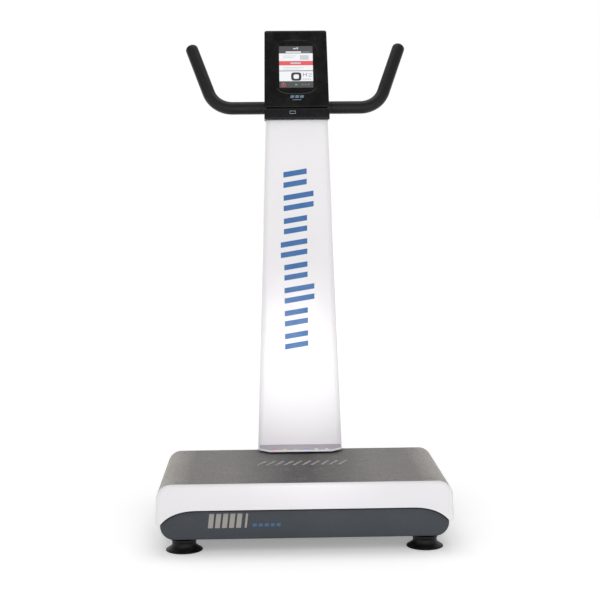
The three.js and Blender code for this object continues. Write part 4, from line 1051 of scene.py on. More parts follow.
# %% Fascia
CONSOLE = Matrix.Translation(CONSOLE_FOOT) @ Matrix.Rotation(math.radians(90) - TILT, 4, "X")
CONSOLE_LENGTH = 257 * MM
CONSOLE_HALF = 84.5 * MM
BAND = 34.6 * MM
FACE_EDGE = 4 * MM
NARROWING = 1 - 163.5 / 169
SCREEN_HALF = 44 * MM
SCREEN_LOW, SCREEN_HIGH = 90 * MM, 209 * MM
FASCIA_DEPTH = 14 * MM
ROLL_WIDTH, ROLL_DROP = 11 * MM, 4 * MM


def rounded_ring(half, low, high, radius, along=8, round_steps=7):
    """A closed rounded rectangle, evenly stepped, from the middle of the right side upward."""
    ring = []
    corners = [(half, high, 0), (-half, high, 90), (-half, low, 180), (half, low, 270)]
    for i, (x, v, start) in enumerate(corners):
        cx = x - math.copysign(radius, x)
        cv = v - math.copysign(radius, v - (low + high) / 2)
        ring += arc(cx, cv, radius, start, start + 90, round_steps)
        nx, nv, next_start = corners[(i + 1) % 4]
        ncx = nx - math.copysign(radius, nx)
        ncv = nv - math.copysign(radius, nv - (low + high) / 2)
        end = (ncx + radius * math.cos(math.radians(next_start)),
               ncv + radius * math.sin(math.radians(next_start)))
        first = ring[-1]
        ring += [(first[0] + (end[0] - first[0]) * k / along, first[1] + (end[1] - first[1]) * k / along)
                 for k in range(1, along)]
    return ring


def tapered(ring):
    return [(x * (1 - NARROWING * v / CONSOLE_LENGTH), v) for x, v in ring]


def lens_ring(half, half_height, middle, guide, power=3.4):
    """A soft oval whose points face the guide ring's points."""
    ring = []
    for x, v in guide:
        a = math.atan2((v - middle) / half_height, x / half)
        c, s = math.cos(a), math.sin(a)
        ring.append((half * math.copysign(abs(c) ** (2 / power), c),
                     middle + half_height * math.copysign(abs(s) ** (2 / power), s)))
    return ring


def in_console(ring, w):
    """The ring in place, w out of the face; the face rolls back along its top edge."""
    placed = []
    for x, v in ring:
        past = max(0.0, v - CONSOLE_LENGTH + ROLL_WIDTH) / ROLL_WIDTH
        placed.append(CONSOLE @ Vector((x, v, w - ROLL_DROP * past ** 2 * (1 + w / FASCIA_DEPTH))))
    return placed


def fascia_ring(inset):
    return tapered(rounded_ring(CONSOLE_HALF - inset, BAND + inset, CONSOLE_LENGTH - inset,
                                6 * MM - inset * 0.5))


guide = fascia_ring(5 * MM)
middle = (SCREEN_LOW + SCREEN_HIGH) / 2
rings = [in_console(fascia_ring(0), -FASCIA_DEPTH)]
for i in range(7):
    a = math.pi / 2 * i / 6
    rings.append(in_console(fascia_ring(FACE_EDGE * (1 - math.cos(a))), -FACE_EDGE * (1 - math.sin(a))))
rings.append(in_console(guide, 0))
LENS_HALF, LENS_HEIGHT, RECESS = 60 * MM, 76 * MM, 1.7 * MM
for grow, w in ((3.0 * MM, 0.0), (2.4 * MM, -0.1 * MM), (1.4 * MM, -0.6 * MM), (0.2 * MM, -1.25 * MM),
                (-0.8 * MM, -1.6 * MM), (-1.8 * MM, -RECESS)):
    rings.append(in_console(lens_ring(LENS_HALF + grow, LENS_HEIGHT + grow, middle, guide), w))
for grow, w in ((3.5 * MM, -0.9 * MM), (0.8 * MM, -0.7 * MM), (0.35 * MM, -0.85 * MM),
                (0.3 * MM, -4 * MM)):
    rings.append(in_console(rounded_ring(SCREEN_HALF + grow, SCREEN_LOW - grow, SCREEN_HIGH + grow,
                                         2 * MM + grow), w))
fascia = piece("console_fascia_shell", [p for ring in rings for p in ring], loft(rings, closed=True),
               GLOSS, "base", ["console_fascia"], smooth=50)
outward(fascia.data)
print("fascia faces:", len(fascia.data.polygons))

# %% [markdown]
# ## Screen
#
# The screen shows a plain, made-up page: a dark bar with a progress line, a pale panel, a red band, a
# large zero beside small strokes, and a lower bar with a power sign and a play sign. Each patch glows
# a little, has a faint fine grain and lies a hair above the one below.


# %% Screen
def glowing(name, colour, strength=1.04):
    recipe = Recipe(name, Roughness=0.16, Coat_Weight=1.0, Coat_Roughness=0.03, Emission_Strength=strength)
    grain = recipe.noise(1.0, 1.0, 0.5, recipe.stretched((900.0, 900.0, 1900.0)))
    share = recipe.ramp(grain, 0.0, 0.12, 0.4, 0.6)
    lit = recipe.mix(share, colour_of(*colour), (0.0, 0.0, 0.0, 1.0))
    recipe.tree.links.new(lit, recipe.shader.inputs["Emission Color"])
    recipe.shader.inputs["Base Color"].default_value = (0.006, 0.006, 0.007, 1.0)
    return recipe.material


def on_screen(x0, v0, x1, v1):
    """A rectangle in shares of the screen's width and height, the origin at its top left."""
    x = [-SCREEN_HALF + 2 * SCREEN_HALF * s for s in (x0, x1)]
    v = [SCREEN_HIGH - (SCREEN_HIGH - SCREEN_LOW) * s for s in (v0, v1)]
    return [(x[0], v[0]), (x[1], v[0]), (x[1], v[1]), (x[0], v[1])]


def spread(share_x, share_v):
    return (-SCREEN_HALF + 2 * SCREEN_HALF * share_x, SCREEN_HIGH - (SCREEN_HIGH - SCREEN_LOW) * share_v)


def ring_patches(share_x, share_v, outer, inner, start=0, end=360, count=28, squeeze=1.0, power=2.0):
    """Quads of a flat ring, as outlines, centred on a screen share."""
    cx, cv = spread(share_x, share_v)
    quads = []
    for i in range(count):
        corners = []
        for radius, k in ((outer, i), (outer, i + 1), (inner, i + 1), (inner, i)):
            a = math.radians(start + (end - start) * k / count)
            c, s = math.cos(a), math.sin(a)
            x = math.copysign(abs(c) ** (2 / power), c)
            v = math.copysign(abs(s) ** (2 / power), s)
            corners.append((cx + radius * squeeze * x, cv + radius * v))
        quads.append(corners)
    return quads


DARK, PALE, RED, INK, GREY, GREEN, LINE = range(7)
SCREEN_COLOURS = [glowing("screen_" + word, colour) for word, colour in (
    ("dark", (66, 66, 68)), ("pale", (246, 247, 250)), ("red", (232, 84, 88)), ("ink", (32, 33, 36)),
    ("grey", (132, 134, 138)), ("green", (84, 178, 84)), ("line", (206, 208, 212)))]
SCREEN_SINK, LAYER_STEP = 0.8 * MM, 0.03 * MM
patches = [(0, [on_screen(0, 0, 1, 0.175)], DARK), (0, [on_screen(0, 0.175, 1, 0.845)], PALE),
           (0, [on_screen(0, 0.845, 1, 1)], DARK),
           (1, [on_screen(0.2, 0.128, 0.66, 0.16)], PALE), (1, [on_screen(0.7, 0.132, 0.93, 0.156)], GREY),
           (1, [on_screen(0.42, 0.045, 0.5, 0.075), on_screen(0.52, 0.03, 0.57, 0.075)], LINE),
           (1, [on_screen(0, 0.36, 1, 0.465)], RED), (1, [on_screen(0, 0.59, 1, 0.605)], INK),
           (2, [on_screen(0.34, 0.395, 0.64, 0.43)], LINE),
           (1, ring_patches(0.5, 0.735, 12.0 * MM, 6.2 * MM, squeeze=1.12, power=4.0), INK)]
for offset, width in ((0.70, 0.018), (0.80, 0.018)):
    patches.append((1, [on_screen(offset, 0.64, offset + width, 0.735)], GREY))
patches.append((1, [on_screen(0.70, 0.68, 0.818, 0.694), on_screen(0.86, 0.665, 0.96, 0.677),
                    on_screen(0.86, 0.723, 0.96, 0.735)], GREY))
slash = [spread(0.945, 0.677), spread(0.96, 0.677), spread(0.875, 0.723), spread(0.86, 0.723)]
patches.append((1, [slash], GREY))
patches.append((1, [on_screen(0.7 + 0.05 * i, 0.79, 0.73 + 0.05 * i, 0.805) for i in range(5)], INK))
patches.append((1, ring_patches(0.12, 0.93, 5.2 * MM, 3.9 * MM, 120, 420), RED))
patches.append((1, [on_screen(0.108, 0.875, 0.132, 0.925)], RED))
play = [spread(0.47, 0.9), spread(0.545, 0.93), spread(0.47, 0.96)]
patches.append((1, [play], GREEN))
patches.append((1, [on_screen(0.66 + 0.09 * i, 0.918, 0.71 + 0.09 * i, 0.934) for i in range(3)], GREY))
patches.append((1, [on_screen(0.12, 0.23, 0.5, 0.245), on_screen(0.12, 0.27, 0.42, 0.285),
                    on_screen(0.62, 0.22, 0.88, 0.33), on_screen(0.12, 0.51, 0.72, 0.525),
                    on_screen(0.12, 0.55, 0.6, 0.562)], LINE))
points, faces, colours = [], [], []
for layer, outlines, colour in patches:
    for outline in outlines:
        start = len(points)
        height = -SCREEN_SINK + (layer + 1) * LAYER_STEP
        points += [CONSOLE @ Vector((x, v, height)) for x, v in outline]
        faces.append(tuple(range(start, start + len(outline))))
        colours.append(colour)
mesh = bpy.data.meshes.new("screen_picture")
mesh.from_pydata([tuple(p) for p in points], [], faces)
dressed("screen_picture", mesh, SCREEN_COLOURS[0], "base", (), 0)
for material in SCREEN_COLOURS[1:]:
    mesh.materials.append(material)
facing = CONSOLE.to_3x3() @ Vector((0, 0, 1))
for face, colour in zip(mesh.polygons, colours):
    face.material_index = colour
work = bmesh.new()
work.from_mesh(mesh)
work.normal_update()
bmesh.ops.reverse_faces(work, faces=[f for f in work.faces if f.normal.dot(facing) < 0])
work.to_mesh(mesh)
work.free()


def screen_glass():
    recipe = Recipe("screen_glass", Coat_Weight=1.0, Coat_Roughness=0.02)
    smudge = recipe.ramp(recipe.noise(40.0, 5.0, 0.65), 0.0, 1.0, 0.45, 0.7)
    recipe.colour(recipe.mix(smudge, colour_of(14, 15, 17), colour_of(24, 25, 27)))
    recipe.roughness(recipe.ramp(smudge, 0.05, 0.22))
    recipe.bump((recipe.noise(300.0, 2.0), 0.03, 0.00002))
    return recipe.material


refined("display_glass", screen_glass(), "base", 0.25 * MM)
print("screen patches:", len(faces))

# %% [markdown]
# ## Charging port and circuit board
#
# The port in the lower band is a black insert with a tongue in its mouth. Behind the screen lies the
# circuit board, which gets green lacquer over copper tracks.

# %% Charging port insert
PORT_X, PORT_V = -11 * MM, 20 * MM
points, faces = [], []
for half_x, half_v, front, back in ((6.7, 3.1, -2.2, -11.5), (4.6, 0.7, -0.6, -4)):
    outline = [(PORT_X + x * MM, PORT_V + v * MM) for x, v in
               ((-half_x, -half_v), (half_x, -half_v), (half_x, half_v), (-half_x, half_v))]
    start = len(points)
    points += [CONSOLE @ Vector((x, v, w * MM)) for w in (front, back) for x, v in outline]
    faces += [tuple(start + i for i in face) for face in
              ((0, 1, 2, 3), (7, 6, 5, 4), (0, 4, 5, 1), (1, 5, 6, 2), (2, 6, 7, 3), (3, 7, 4, 0))]
port = piece("charging_port_insert", points, faces, MATT, "base", (), 30)
outward(port.data)
softened(port, 0.25 * MM, 2)


# %% Console circuit board
def circuit_board():
    recipe = Recipe("circuit_board", Coat_Weight=0.4, Coat_Roughness=0.1)
    tracks = recipe.cells(320.0, "F1")
    copper = recipe.ramp(tracks, 1.0, 0.0, 0.08, 0.16)
    recipe.colour(recipe.mix(copper, colour_of(24, 84, 52), colour_of(150, 150, 120)))
    recipe.roughness(recipe.ramp(recipe.noise(50.0), 0.25, 0.4, 0.3, 0.7))
    recipe.bump((tracks, 0.3, 0.0002))
    return recipe.material


refined("console_circuit_board", circuit_board(), "base", 0.2 * MM)

# %% [markdown]
# ## Handlebar grips
#
# Each half of the handlebar wears one long moulded rubber sleeve: straight out of the console, round a
# bend, up the splayed arm and closed by a rounded tip. A circle is swept along that line, and a
# shallow bead near the console ends the sleeve neatly.

# %% Grips
BAR_MIDDLE = Vector((0, COLUMN_FRONT + 36.5 * MM, 1.062))
BAR_CORNER = 214 * MM
BEND_RADIUS = 66 * MM
SPLAY, LEAN = math.radians(20.8), math.radians(23)
ARM_LENGTH = 182 * MM
GRIP_RADIUS = 16.5 * MM
GRIP_START = 83.4 * MM
TIP_LENGTH = 13.2 * MM


def grip_line(side):
    """(point, direction) pairs along one sleeve, out of the console and up the arm."""
    along = Vector((side, 0, 0))
    arm = Vector((side * math.tan(SPLAY), math.tan(LEAN), 1)).normalized()
    angle = along.angle(arm)
    reach = BEND_RADIUS * math.tan(angle / 2)
    corner = BAR_MIDDLE + along * BAR_CORNER
    first, last = corner - along * reach, corner + arm * reach
    inward = (arm - along * math.cos(angle)).normalized()
    centre = first + inward * BEND_RADIUS
    start = BAR_MIDDLE + along * GRIP_START
    end = corner + arm * ARM_LENGTH
    line = [(start.lerp(first, i / 10), along) for i in range(10)]
    for i in range(21):
        a = angle * i / 20
        outward_now = -inward * math.cos(a) + along * math.sin(a)
        line.append((centre + outward_now * BEND_RADIUS, along * math.cos(a) + inward * math.sin(a)))
    line += [(last.lerp(end, i / 16), arm) for i in range(1, 17)]
    return line


def swept(name, line, radii, material, body, slot, replaced, sides=40):
    """A round bar along a line of (point, direction), with a radius at every station."""
    points, across = [], None
    for (place, ahead), radius in zip(line, radii):
        guide_now = across if across is not None else Vector((0, 0, 1))
        across = (guide_now - ahead * guide_now.dot(ahead)).normalized()
        other = ahead.cross(across)
        for i in range(sides):
            a = 2 * math.pi * i / sides
            points.append(place + (across * math.cos(a) + other * math.sin(a)) * radius)
    rings = [points[i:i + sides] for i in range(0, len(points), sides)]
    faces = loft(rings, closed=True)
    faces += [tuple(range(sides)), tuple(reversed(range(len(points) - sides, len(points))))]
    made = piece(name, points, faces, material, body, replaced, 50)
    outward(made.data)
    return made


for side, word in ((-1, "left"), (1, "right")):
    line = grip_line(side)
    radii = [GRIP_RADIUS] * len(line)
    start, ahead = line[0]
    collar = [(0.0, 0.0), (6.0, 0.0), (6.5, -0.35), (7.3, -0.35), (7.8, 0.0)]
    line = [(start + ahead * d * MM, ahead) for d, _ in collar] + line[1:]
    radii = [GRIP_RADIUS + r * MM for _, r in collar] + radii[1:]
    end, ahead = line[-1]
    for i in range(1, 11):
        a = math.pi / 2 * i / 10
        line.append((end + ahead * TIP_LENGTH * math.sin(a), ahead))
        radii.append(max(GRIP_RADIUS * math.cos(a) ** 0.9, 0.4 * MM) if i < 10 else 0.4 * MM)
    swept("grip_sleeve_" + word, line, radii, GRIP, "base", "grip_rubber",
          ["grip_" + word, "grip_cap_" + word])

# %% [markdown]
# ## Black bead under the skirt, a painted shadow
#
# A thin black bead lines the arched lower edge of the skirt. It is painted shadow: a dark strip that
# stands in for the shade in the gap between the skirt and the tub. It is the same sweep as the grips,
# along the arch, a little behind the front face.

# %% Skirt shadow bead
BEAD_RADIUS = 2.0 * MM
spots = [Vector((x, skirt_low.y + 2.4 * MM, z - 1.4 * MM)) for x, z in edge]
ahead = [(spots[min(i + 1, len(spots) - 1)] - spots[max(i - 1, 0)]).normalized()
         for i in range(len(spots))]
# Painted shadow: the black bead stands in for the shade under the skirt's edge.
swept("skirt_shadow_bead", list(zip(spots, ahead)), [BEAD_RADIUS] * len(spots), GRIP, "platform",
      "grip_rubber", (), 12)

# %% [markdown]
# ## Foot lip with its indicator lamps
#
# A flat lip reaches from the column's foot over the mat. Its rim is white; its top is a mauve-grey
# inlay with six round lamps. The inlay's mauve-grey is painted shade: it stands in for the shade of
# the column on the white lip. The lamps are pale when they are off, each with a hint of its colour.


# %% Lip and lamps
def tinted_plastic(name, colour, other, roughness=0.3):
    return plain_to_speckled(name, colour, other, roughness, 900.0, 0.00008, 0.6, Coat_Weight=0.2)


# Painted shade: the mauve-grey inlay stands in for the shade on the white lip under the column.
LIP_PAINTED_SHADE = tinted_plastic("lip_painted_shade", (150, 141, 156), (161, 151, 166), 0.4)
lip_low, lip_high = box_of("column_foot_lip")
strip_low, strip_high = box_of("indicator_lens_strip")
LIP_CHAMFER = 28 * MM
LIP_TRAY = 4.6 * MM
RIM = 2.6 * MM


def lip_plate(name, rim, low, high, material, replaced):
    """A plate of the lip's outline, with cut-off front corners, set in by a rim."""
    half, front, back = lip_high.x - rim, lip_low.y + rim, COLUMN_FRONT - 0.5 * MM
    cut_back = LIP_CHAMFER - rim * 0.4
    outline = [(-half, back), (-half, front + cut_back), (-half + cut_back, front),
               (half - cut_back, front), (half, front + cut_back), (half, back)]
    points = [(x, y, z) for z in (high, low) for x, y in outline]
    count = len(outline)
    faces = [tuple(range(count)), tuple(reversed(range(count, 2 * count)))]
    faces += [(i, (i + 1) % count, count + (i + 1) % count, count + i) for i in range(count)]
    made = piece(name, points, faces, material, "base", replaced, 30)
    outward(made.data)
    return made


lip_top = lip_low.z + LIP_TRAY
softened(lip_plate("column_foot_lip_tray", 0.0, lip_low.z, lip_top, WHITE,
                   ["column_foot_lip"]), 1.2 * MM, 3)
# This inlay plate carries the painted shade.
softened(lip_plate("lip_painted_shade", RIM, lip_top - 1 * MM, lip_top + 0.2 * MM, LIP_PAINTED_SHADE,
                   ["indicator_lens_strip"]), 0.3 * MM, 2)

LAMPS = {"red": (240, 150, 156), "amber": (238, 222, 150), "green": (170, 226, 178),
         "blue": (150, 184, 240), "white": (246, 246, 248), "clear": (240, 236, 244)}


def lamp_tree(name, radius):
    """A low round lens in a thin ring, on each carrier point."""
    tree = Tree(name, Lens_Radius=radius, Ring_Width=0.5 * MM)
    ball = tree.node("GeometryNodeMeshUVSphere", {
        "Segments": 28, "Rings": 14, "Radius": tree["Lens_Radius"]})
    lens_part = tree.moved(ball.outputs["Mesh"], scale=(1.0, 1.0, 0.28))
    section = curve_circle(tree, 8, "Ring_Width")
    rim = tree.node("GeometryNodeCurveToMesh", {
        "Curve": curve_circle(tree, 32, "Lens_Radius"), "Profile Curve": section})
    tree.result = tree.placed(tree["Geometry"], tree.joined(lens_part, rim.outputs[0]))
    return tree


strip_middle = (strip_low.y + strip_high.y) / 2
pitch = (strip_high.x - strip_low.x) / (len(LAMPS) - 0.4)
for i, (word, colour) in enumerate(LAMPS.items()):
    spot = ((i - (len(LAMPS) - 1) / 2) * pitch, strip_middle, lip_top + 0.2 * MM)
    lens_finish = tinted_plastic("lamp_" + word, colour, tuple(c - 12 for c in colour), 0.15)
    lamp_tree("lamp_" + word, 5.6 * MM).grown("lamp_" + word, lens_finish, "base", "lens_plastic", [spot])

# %% [markdown]
# ## Plain marks
#
# Where a maker would put a name there are only slanted bars: a tall blue stack on the column, a pale
# row with small blue dashes on the tub and a short grey-blue row on the console. They are thin printed
# patches that lie on the surface under them.


# %% Marks
def printed(name, colour, other):
    recipe = Recipe(name, Coat_Weight=0.1)
    worn = recipe.ramp(recipe.noise(260.0, 5.0, 0.7), 0.0, 0.35, 0.6, 0.78)
    recipe.colour(recipe.mix(worn, colour_of(*colour), colour_of(*other)))
    recipe.roughness(recipe.ramp(recipe.noise(60.0, 3.0), 0.32, 0.46, 0.3, 0.7))
    recipe.bump((recipe.noise(900.0, 1.0), 0.2, 0.00005))
    return recipe.material


def patch_set(name, outlines, place, thickness, material):
    """Thin closed plates from flat outlines; place turns (across, up, out) into a point."""
    points, faces = [], []
    for outline in outlines:
        start, count = len(points), len(outline)
        points += [place(x, v, thickness) for x, v in outline]
        points += [place(x, v, -thickness) for x, v in outline]
        faces.append(tuple(start + i for i in range(count)))
        faces.append(tuple(start + count + i for i in reversed(range(count))))
        for i in range(count):
            j = (i + 1) % count
            faces.append((start + i, start + count + i, start + count + j, start + j))
    made = piece(name, points, faces, material, "base", (), 0)
    outward(made.data)
    return made


def slanted(x0, x1, v0, v1, lean):
    return [(x0, v0), (x1, v0), (x1 + lean, v1), (x0 + lean, v1)]


BLUE = printed("mark_blue", (6, 92, 156), (26, 108, 166))
BADGE_PALE = printed("badge_pale", (150, 146, 141), (132, 130, 128))
BADGE_BLUE = printed("badge_blue", (42, 92, 134), (60, 100, 134))
CONSOLE_MARK = printed("console_mark", (96, 116, 134), (78, 92, 104))

MARK_LEFT, MARK_LOW, MARK_CELL = -0.0455, 0.428, 0.0605
MARK_WIDTH, MARK_SLOPE = 0.087, 0.16
PRINT = 0.12 * MM
bars = []
for i, (left, right) in enumerate([(0.1, 0.8), (0.1, 0.8), (0.1, 1), (0.1, 0.8), (0, 0.8), (0.1, 0.8),
                                   (0.1, 1), (0.1, 0.8)]):
    for low, high in ((0.0, 0.014), (0.027, 0.041)):
        z = MARK_LOW + i * MARK_CELL
        x0, x1 = (MARK_LEFT + MARK_WIDTH * share for share in (left, right))
        bars.append([(x, z + v + (x - MARK_LEFT) * MARK_SLOPE) for x, v in
                     ((x0, low), (x1, low), (x1, high), (x0, high))])
patch_set("column_mark", bars, lambda x, z, out: (x, COLUMN_FRONT - out, z), PRINT, BLUE)


def slanted_row(count, first, pitch, width, low, high, lean):
    return [slanted(first + i * pitch, first + i * pitch + width, low, high, lean) for i in range(count)]


def on_tub(x, z, out):
    return (x, tub_low.y - out, z)


badge = slanted_row(5, -0.228, 0.0165, 0.0115, 0.060, 0.094, 0.004)
badge.append(slanted(-0.142, -0.137, 0.060, 0.094, 0.004))
patch_set("tub_badge", badge, on_tub, PRINT, BADGE_PALE)
dashes = slanted_row(5, -0.123, 0.014, 0.009, 0.0625, 0.0695, 0.001)
patch_set("tub_badge_dashes", dashes, on_tub, PRINT, BADGE_BLUE)
row = slanted_row(3, -0.017, 0.0125, 0.0095, 0.0605, 0.068, 0.002)
row.append(slanted(-0.011, 0.012, 0.0545, 0.0565, 0.0))
patch_set("console_mark", row, lambda x, v, out: CONSOLE @ Vector((x, v, out)), 0.1 * MM, CONSOLE_MARK)

# %% [markdown]
# ## Feet and transport wheels
#
# Each foot is a suction cup on a threaded stud with a lock nut. The cup is turned from one profile
# with a thin lip, and Geometry Nodes adds the ribs on its shoulder. The wheels get a tyre with grooves,
# a hub and spokes between them.


# %% Feet
def turned(name, profile, centre, axis, material, body, slot, replaced=(), sides=64, smooth=36.0):
    """A body of revolution about Z or X through a centre, from (radius, along) points in millimetres."""
    points = []
    for r, h in [(r * MM, h * MM) for r, h in profile]:
        for i in range(sides):
            a = 2 * math.pi * i / sides
            spin = (r * math.cos(a), r * math.sin(a))
            local = (spin[0], spin[1], h) if axis == "Z" else (h, spin[0], spin[1])
            points.append(Vector(centre) + Vector(local))
    rings = [points[i:i + sides] for i in range(0, len(points), sides)]
    made = piece(name, points, loft(rings, closed=True), material, body, replaced, smooth)
    outward(made.data)
    return made


CUP = [(0.1, 2.2), (20, 2.2), (25, 1.6), (27, 0.2), (28, 0), (42.8, 0), (43.7, 0.5), (44, 1.4), (43.4, 2.6),
       (41, 4.2), (38, 6.0), (34.5, 8.2), (31.8, 10.2), (29.8, 12.4), (28.6, 14.6), (28, 17), (28, 18.5),
       (28.7, 21), (30.2, 24), (31, 26), (30.6, 27.6), (29, 28.6), (0.1, 28.6)]
for end in ("front", "rear"):
    for side in ("left", "right"):
        name = "foot_%s_%s" % (end, side)
        low, high = box_of(name)
        centre = ((low.x + high.x) / 2, (low.y + high.y) / 2, 0.0)
        turned(name + "_cup", CUP, centre, "Z", FOOT, name, "foot_rubber", [name])
        stud = [(0.05, 27), (6, 27), (6, 28)]
        for turn in range(17):
            stud += [(6.0, 28.5 + turn * 2.1), (5.4, 29.5 + turn * 2.1)]
        stud += [(5, 64), (0.05, 64)]
        turned(name + "_stud", stud, centre, "Z", STEEL, name, "bright_steel", sides=24)
        nut = [(0.1, 28.4), (10.5, 28.4), (11.3, 28.9), (11.3, 31.0), (10.5, 31.5), (0.1, 31.5)]
        turned(name + "_nut", nut, centre, "Z", STEEL, name, "bright_steel", sides=6, smooth=10)
        shift = Matrix.Translation(Vector(centre) + Vector((0, 0, 21 * MM)))
        ring_row_tree(name + "_ribs", 30, 28.0 * MM, (1.2 * MM, 1.6 * MM, 6.5 * MM)).grown(
            name + "_ribs", FOOT, name, "foot_rubber", place=shift)

# %% Wheels
TYRE = [(12, -11), (13.5, -11), (14.5, -8.4), (22.5, -8.4), (24, -11), (27.4, -11), (29.2, -9.8), (30, -8),
        (30, -3.4), (28.9, -2.9), (28.9, -1.6), (30, -1.1), (30, 1.1), (28.9, 1.6), (28.9, 2.9), (30, 3.4),
        (30, 8), (29.2, 9.8), (27.4, 11), (24, 11), (22.5, 8.4), (14.5, 8.4), (13.5, 11), (12, 11)]
HUB = [(4.4, -11.3), (11.4, -11.3), (12.2, -10.6), (12.2, 10.6), (11.4, 11.3), (4.4, 11.3), (4.4, -11.3)]
for side in ("left", "right"):
    name = "wheel_" + side
    low, high = box_of(name)
    centre = (low + high) / 2
    turned(name + "_tyre", TYRE + TYRE[:1], centre, "X", FOOT, name, "foot_rubber", [name])
    turned(name + "_hub", HUB, centre, "X", MATT, name, "matt_black", sides=40)
    onto_axle = Matrix.Translation(centre) @ Matrix.Rotation(math.pi / 2, 4, "Y")
    ring_row_tree(name + "_spokes", 6, 18.4 * MM, (8.6 * MM, 2.4 * MM, 19 * MM)).grown(
        name + "_spokes", FOOT, name, "foot_rubber", place=onto_axle)

# %% [markdown]
# ## Screws, vents and other repeats
#
# Dome-head screws hold the covers, the skirt and the working parts. Louvres let warm air out of the
# column's back, low and high, and of the console's back. The motor gets cooling fins and the pulleys
# get teeth.

# %% Screws
UP = (0.0, 0.0, 0.0)
TO_LEFT = (0.0, math.radians(-90), 0.0)
TO_RIGHT = (0.0, math.radians(90), 0.0)
back_slope = math.atan((DEPTH_LOW - DEPTH_HIGH) / (CONSOLE_FOOT.z - COLUMN_BOTTOM))
rear_face = [(s * (half_width(z) - 22 * MM), cover_back(z), z) for z in (0.16, 0.42, 0.68, 0.94)
             for s in (-1, 1)]
dome_screw_tree("column_screws", 4.2 * MM, (back_slope - math.radians(90), 0.0, 0.0)).grown(
    "column_screws", STEEL, "base", "bright_steel", rear_face)
side_spots = [(-HALF_WIDTH + SKIRT_FLARE * 0.9, y, 0.118) for y in (-0.215, -0.07, 0.08)]
dome_screw_tree("skirt_screws_left", 3.4 * MM, TO_LEFT).grown(
    "skirt_screws_left", STEEL, "platform", "bright_steel", side_spots)
dome_screw_tree("skirt_screws_right", 3.4 * MM, TO_RIGHT).grown(
    "skirt_screws_right", STEEL, "platform", "bright_steel", [(-x, y, z) for x, y, z in side_spots])
deck_high = box_of("rear_deck_cover")[1]
deck_spots = [(s * x, (COLUMN_FRONT + deck_high.y) / 2 + 0.01, deck_high.z) for s in (-1, 1)
              for x in (0.155, 0.315)]
dome_screw_tree("deck_screws", 4.2 * MM, UP).grown("deck_screws", STEEL, "base", "bright_steel", deck_spots)
stand_spots = []
for node, half_foot in (("pivot_stand_front", 32), ("pivot_stand_rear", 32), ("crank_pillow_front", 26),
                        ("crank_pillow_rear", 26)):
    low, high = box_of(node)
    middle_x = (low.x + high.x) / 2
    stand_spots += [(middle_x + s * half_foot * MM, (low.y + high.y) / 2, low.z + 8.2 * MM)
                    for s in (-1, 1)]
dome_screw_tree("stand_bolts", 4.4 * MM, UP).grown(
    "stand_bolts", STEEL, "base", "bright_steel", stand_spots)
low, high = box_of("deck_plate")
plate_spots = [(s * x, y, high.z) for s in (-1, 1) for x in (0.08, 0.2, 0.285)
               for y in (low.y + 0.03, (low.y + high.y) / 2, high.y - 0.03)]
dome_screw_tree("deck_plate_bolts", 4.0 * MM, UP).grown(
    "deck_plate_bolts", STEEL, "platform", "bright_steel", [(x, y, z - 2.2 * MM) for x, y, z in plate_spots])
SHELL_DEEP, SHELL_THIN = 0.078, 0.034
SHELL_FROM, SHELL_RUN = 0.062, 0.187
shell_spots = [CONSOLE @ Vector((s * 0.068, v, -(
    SHELL_DEEP + (SHELL_THIN - SHELL_DEEP) * (v - SHELL_FROM) / SHELL_RUN)))
    for v in (0.085, 0.225) for s in (-1, 1)]
shell_slope = math.atan((SHELL_DEEP - SHELL_THIN) / SHELL_RUN)
away = (CONSOLE.to_3x3() @ Matrix.Rotation(math.pi - shell_slope, 3, "X")).to_euler()
dome_screw_tree("console_screws", 3.4 * MM, tuple(away)).grown(
    "console_screws", STEEL, "base", "bright_steel", shell_spots)

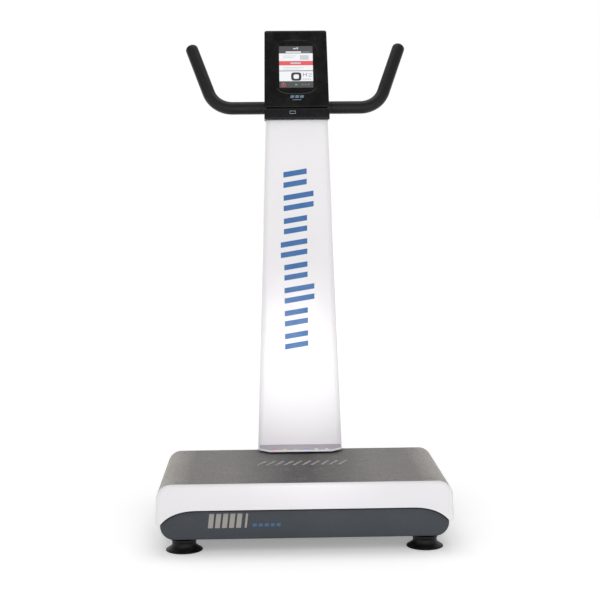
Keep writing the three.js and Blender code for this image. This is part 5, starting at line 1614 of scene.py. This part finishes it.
# %% Vents, fins and teeth
VENT_RISE = 11 * MM
for group, first_z in (("low", 0.2), ("high", 0.78)):
    sink = cover_back(first_z) - cover_back(first_z + VENT_RISE)
    bar_row_tree("column_vents_" + group, 8, (0.0, -sink, VENT_RISE), (76 * MM, 2.4 * MM, 4.2 * MM),
                 (0.0, cover_back(first_z), first_z), (math.radians(28), 0.0, 0.0)).grown(
        "column_vents_" + group, WHITE, "base", "white_plastic", [(0, 0, 0)])
VENT_PITCH, VENT_FROM = 9 * MM, 0.12
vent_step = (SHELL_THIN - SHELL_DEEP) / SHELL_RUN
console_vents = bar_row_tree("console_vents", 9, (0.0, VENT_PITCH, -vent_step * VENT_PITCH),
                             (78 * MM, 4 * MM, 2.0 * MM),
                             (0.0, VENT_FROM, -(SHELL_DEEP + vent_step * (VENT_FROM - SHELL_FROM))))
console_vents.grown("console_vents", MATT, "base", "matt_black", [(0, 0, 0)], place=CONSOLE)
low, high = box_of("motor_body")
motor_place = Matrix.Translation((low + high) / 2) @ Matrix.Rotation(math.radians(-90), 4, "X")
ring_row_tree("motor_fins", 40, 44 * MM, (4.0 * MM, 1.6 * MM, 132 * MM)).grown(
    "motor_fins", MATT, "base", "matt_black", place=motor_place)
for node, body, teeth, radius in (("crank_pulley", "crank", 48, 32.2),
                                  ("motor_pulley", "motor_rotor", 24, 16.1)):
    low, high = box_of(node)
    pulley_place = Matrix.Translation((low + high) / 2) @ Matrix.Rotation(math.radians(-90), 4, "X")
    ring_row_tree(node + "_teeth", teeth, radius * MM, (0.5 * MM, 2.2 * MM, 18 * MM)).grown(
        node + "_teeth", IRON, body, "cast_iron", place=pulley_place)

# %% [markdown]
# ## Floor
#
# A wide pale floor lies under the feet. It glows a little, more so far away, so that it meets the
# bright world without an edge in the main view.


# %% Floor
def pale_floor():
    recipe = Recipe("pale_floor", Specular_IOR_Level=0.1)
    tone = recipe.ramp(recipe.noise(0.6, 2.0), 0.0, 1.0, 0.3, 0.7)
    recipe.colour(recipe.mix(tone, colour_of(250, 250, 250), colour_of(252, 252, 252)))
    recipe.roughness(recipe.ramp(recipe.noise(9.0, 2.0), 0.75, 0.85))
    recipe.shader.inputs["Emission Color"].default_value = (1.0, 1.0, 1.0, 1.0)
    away = recipe.node("ShaderNodeVectorMath", {0: recipe.place}, operation="LENGTH").outputs["Value"]
    recipe.tree.links.new(recipe.ramp(away, 0.26, 0.6, 0.8, 4.0), recipe.shader.inputs["Emission Strength"])
    return recipe.material


FLOOR_REACH = 30.0
mesh = bpy.data.meshes.new("floor")
mesh.from_pydata([(x * FLOOR_REACH, y * FLOOR_REACH, 0) for x, y in ((-1, -1), (1, -1), (1, 1), (-1, 1))],
                 [], [(0, 1, 2, 3)])
mesh.materials.append(pale_floor())
floor = bpy.data.objects.new("floor", mesh)
scene.collection.objects.link(floor)
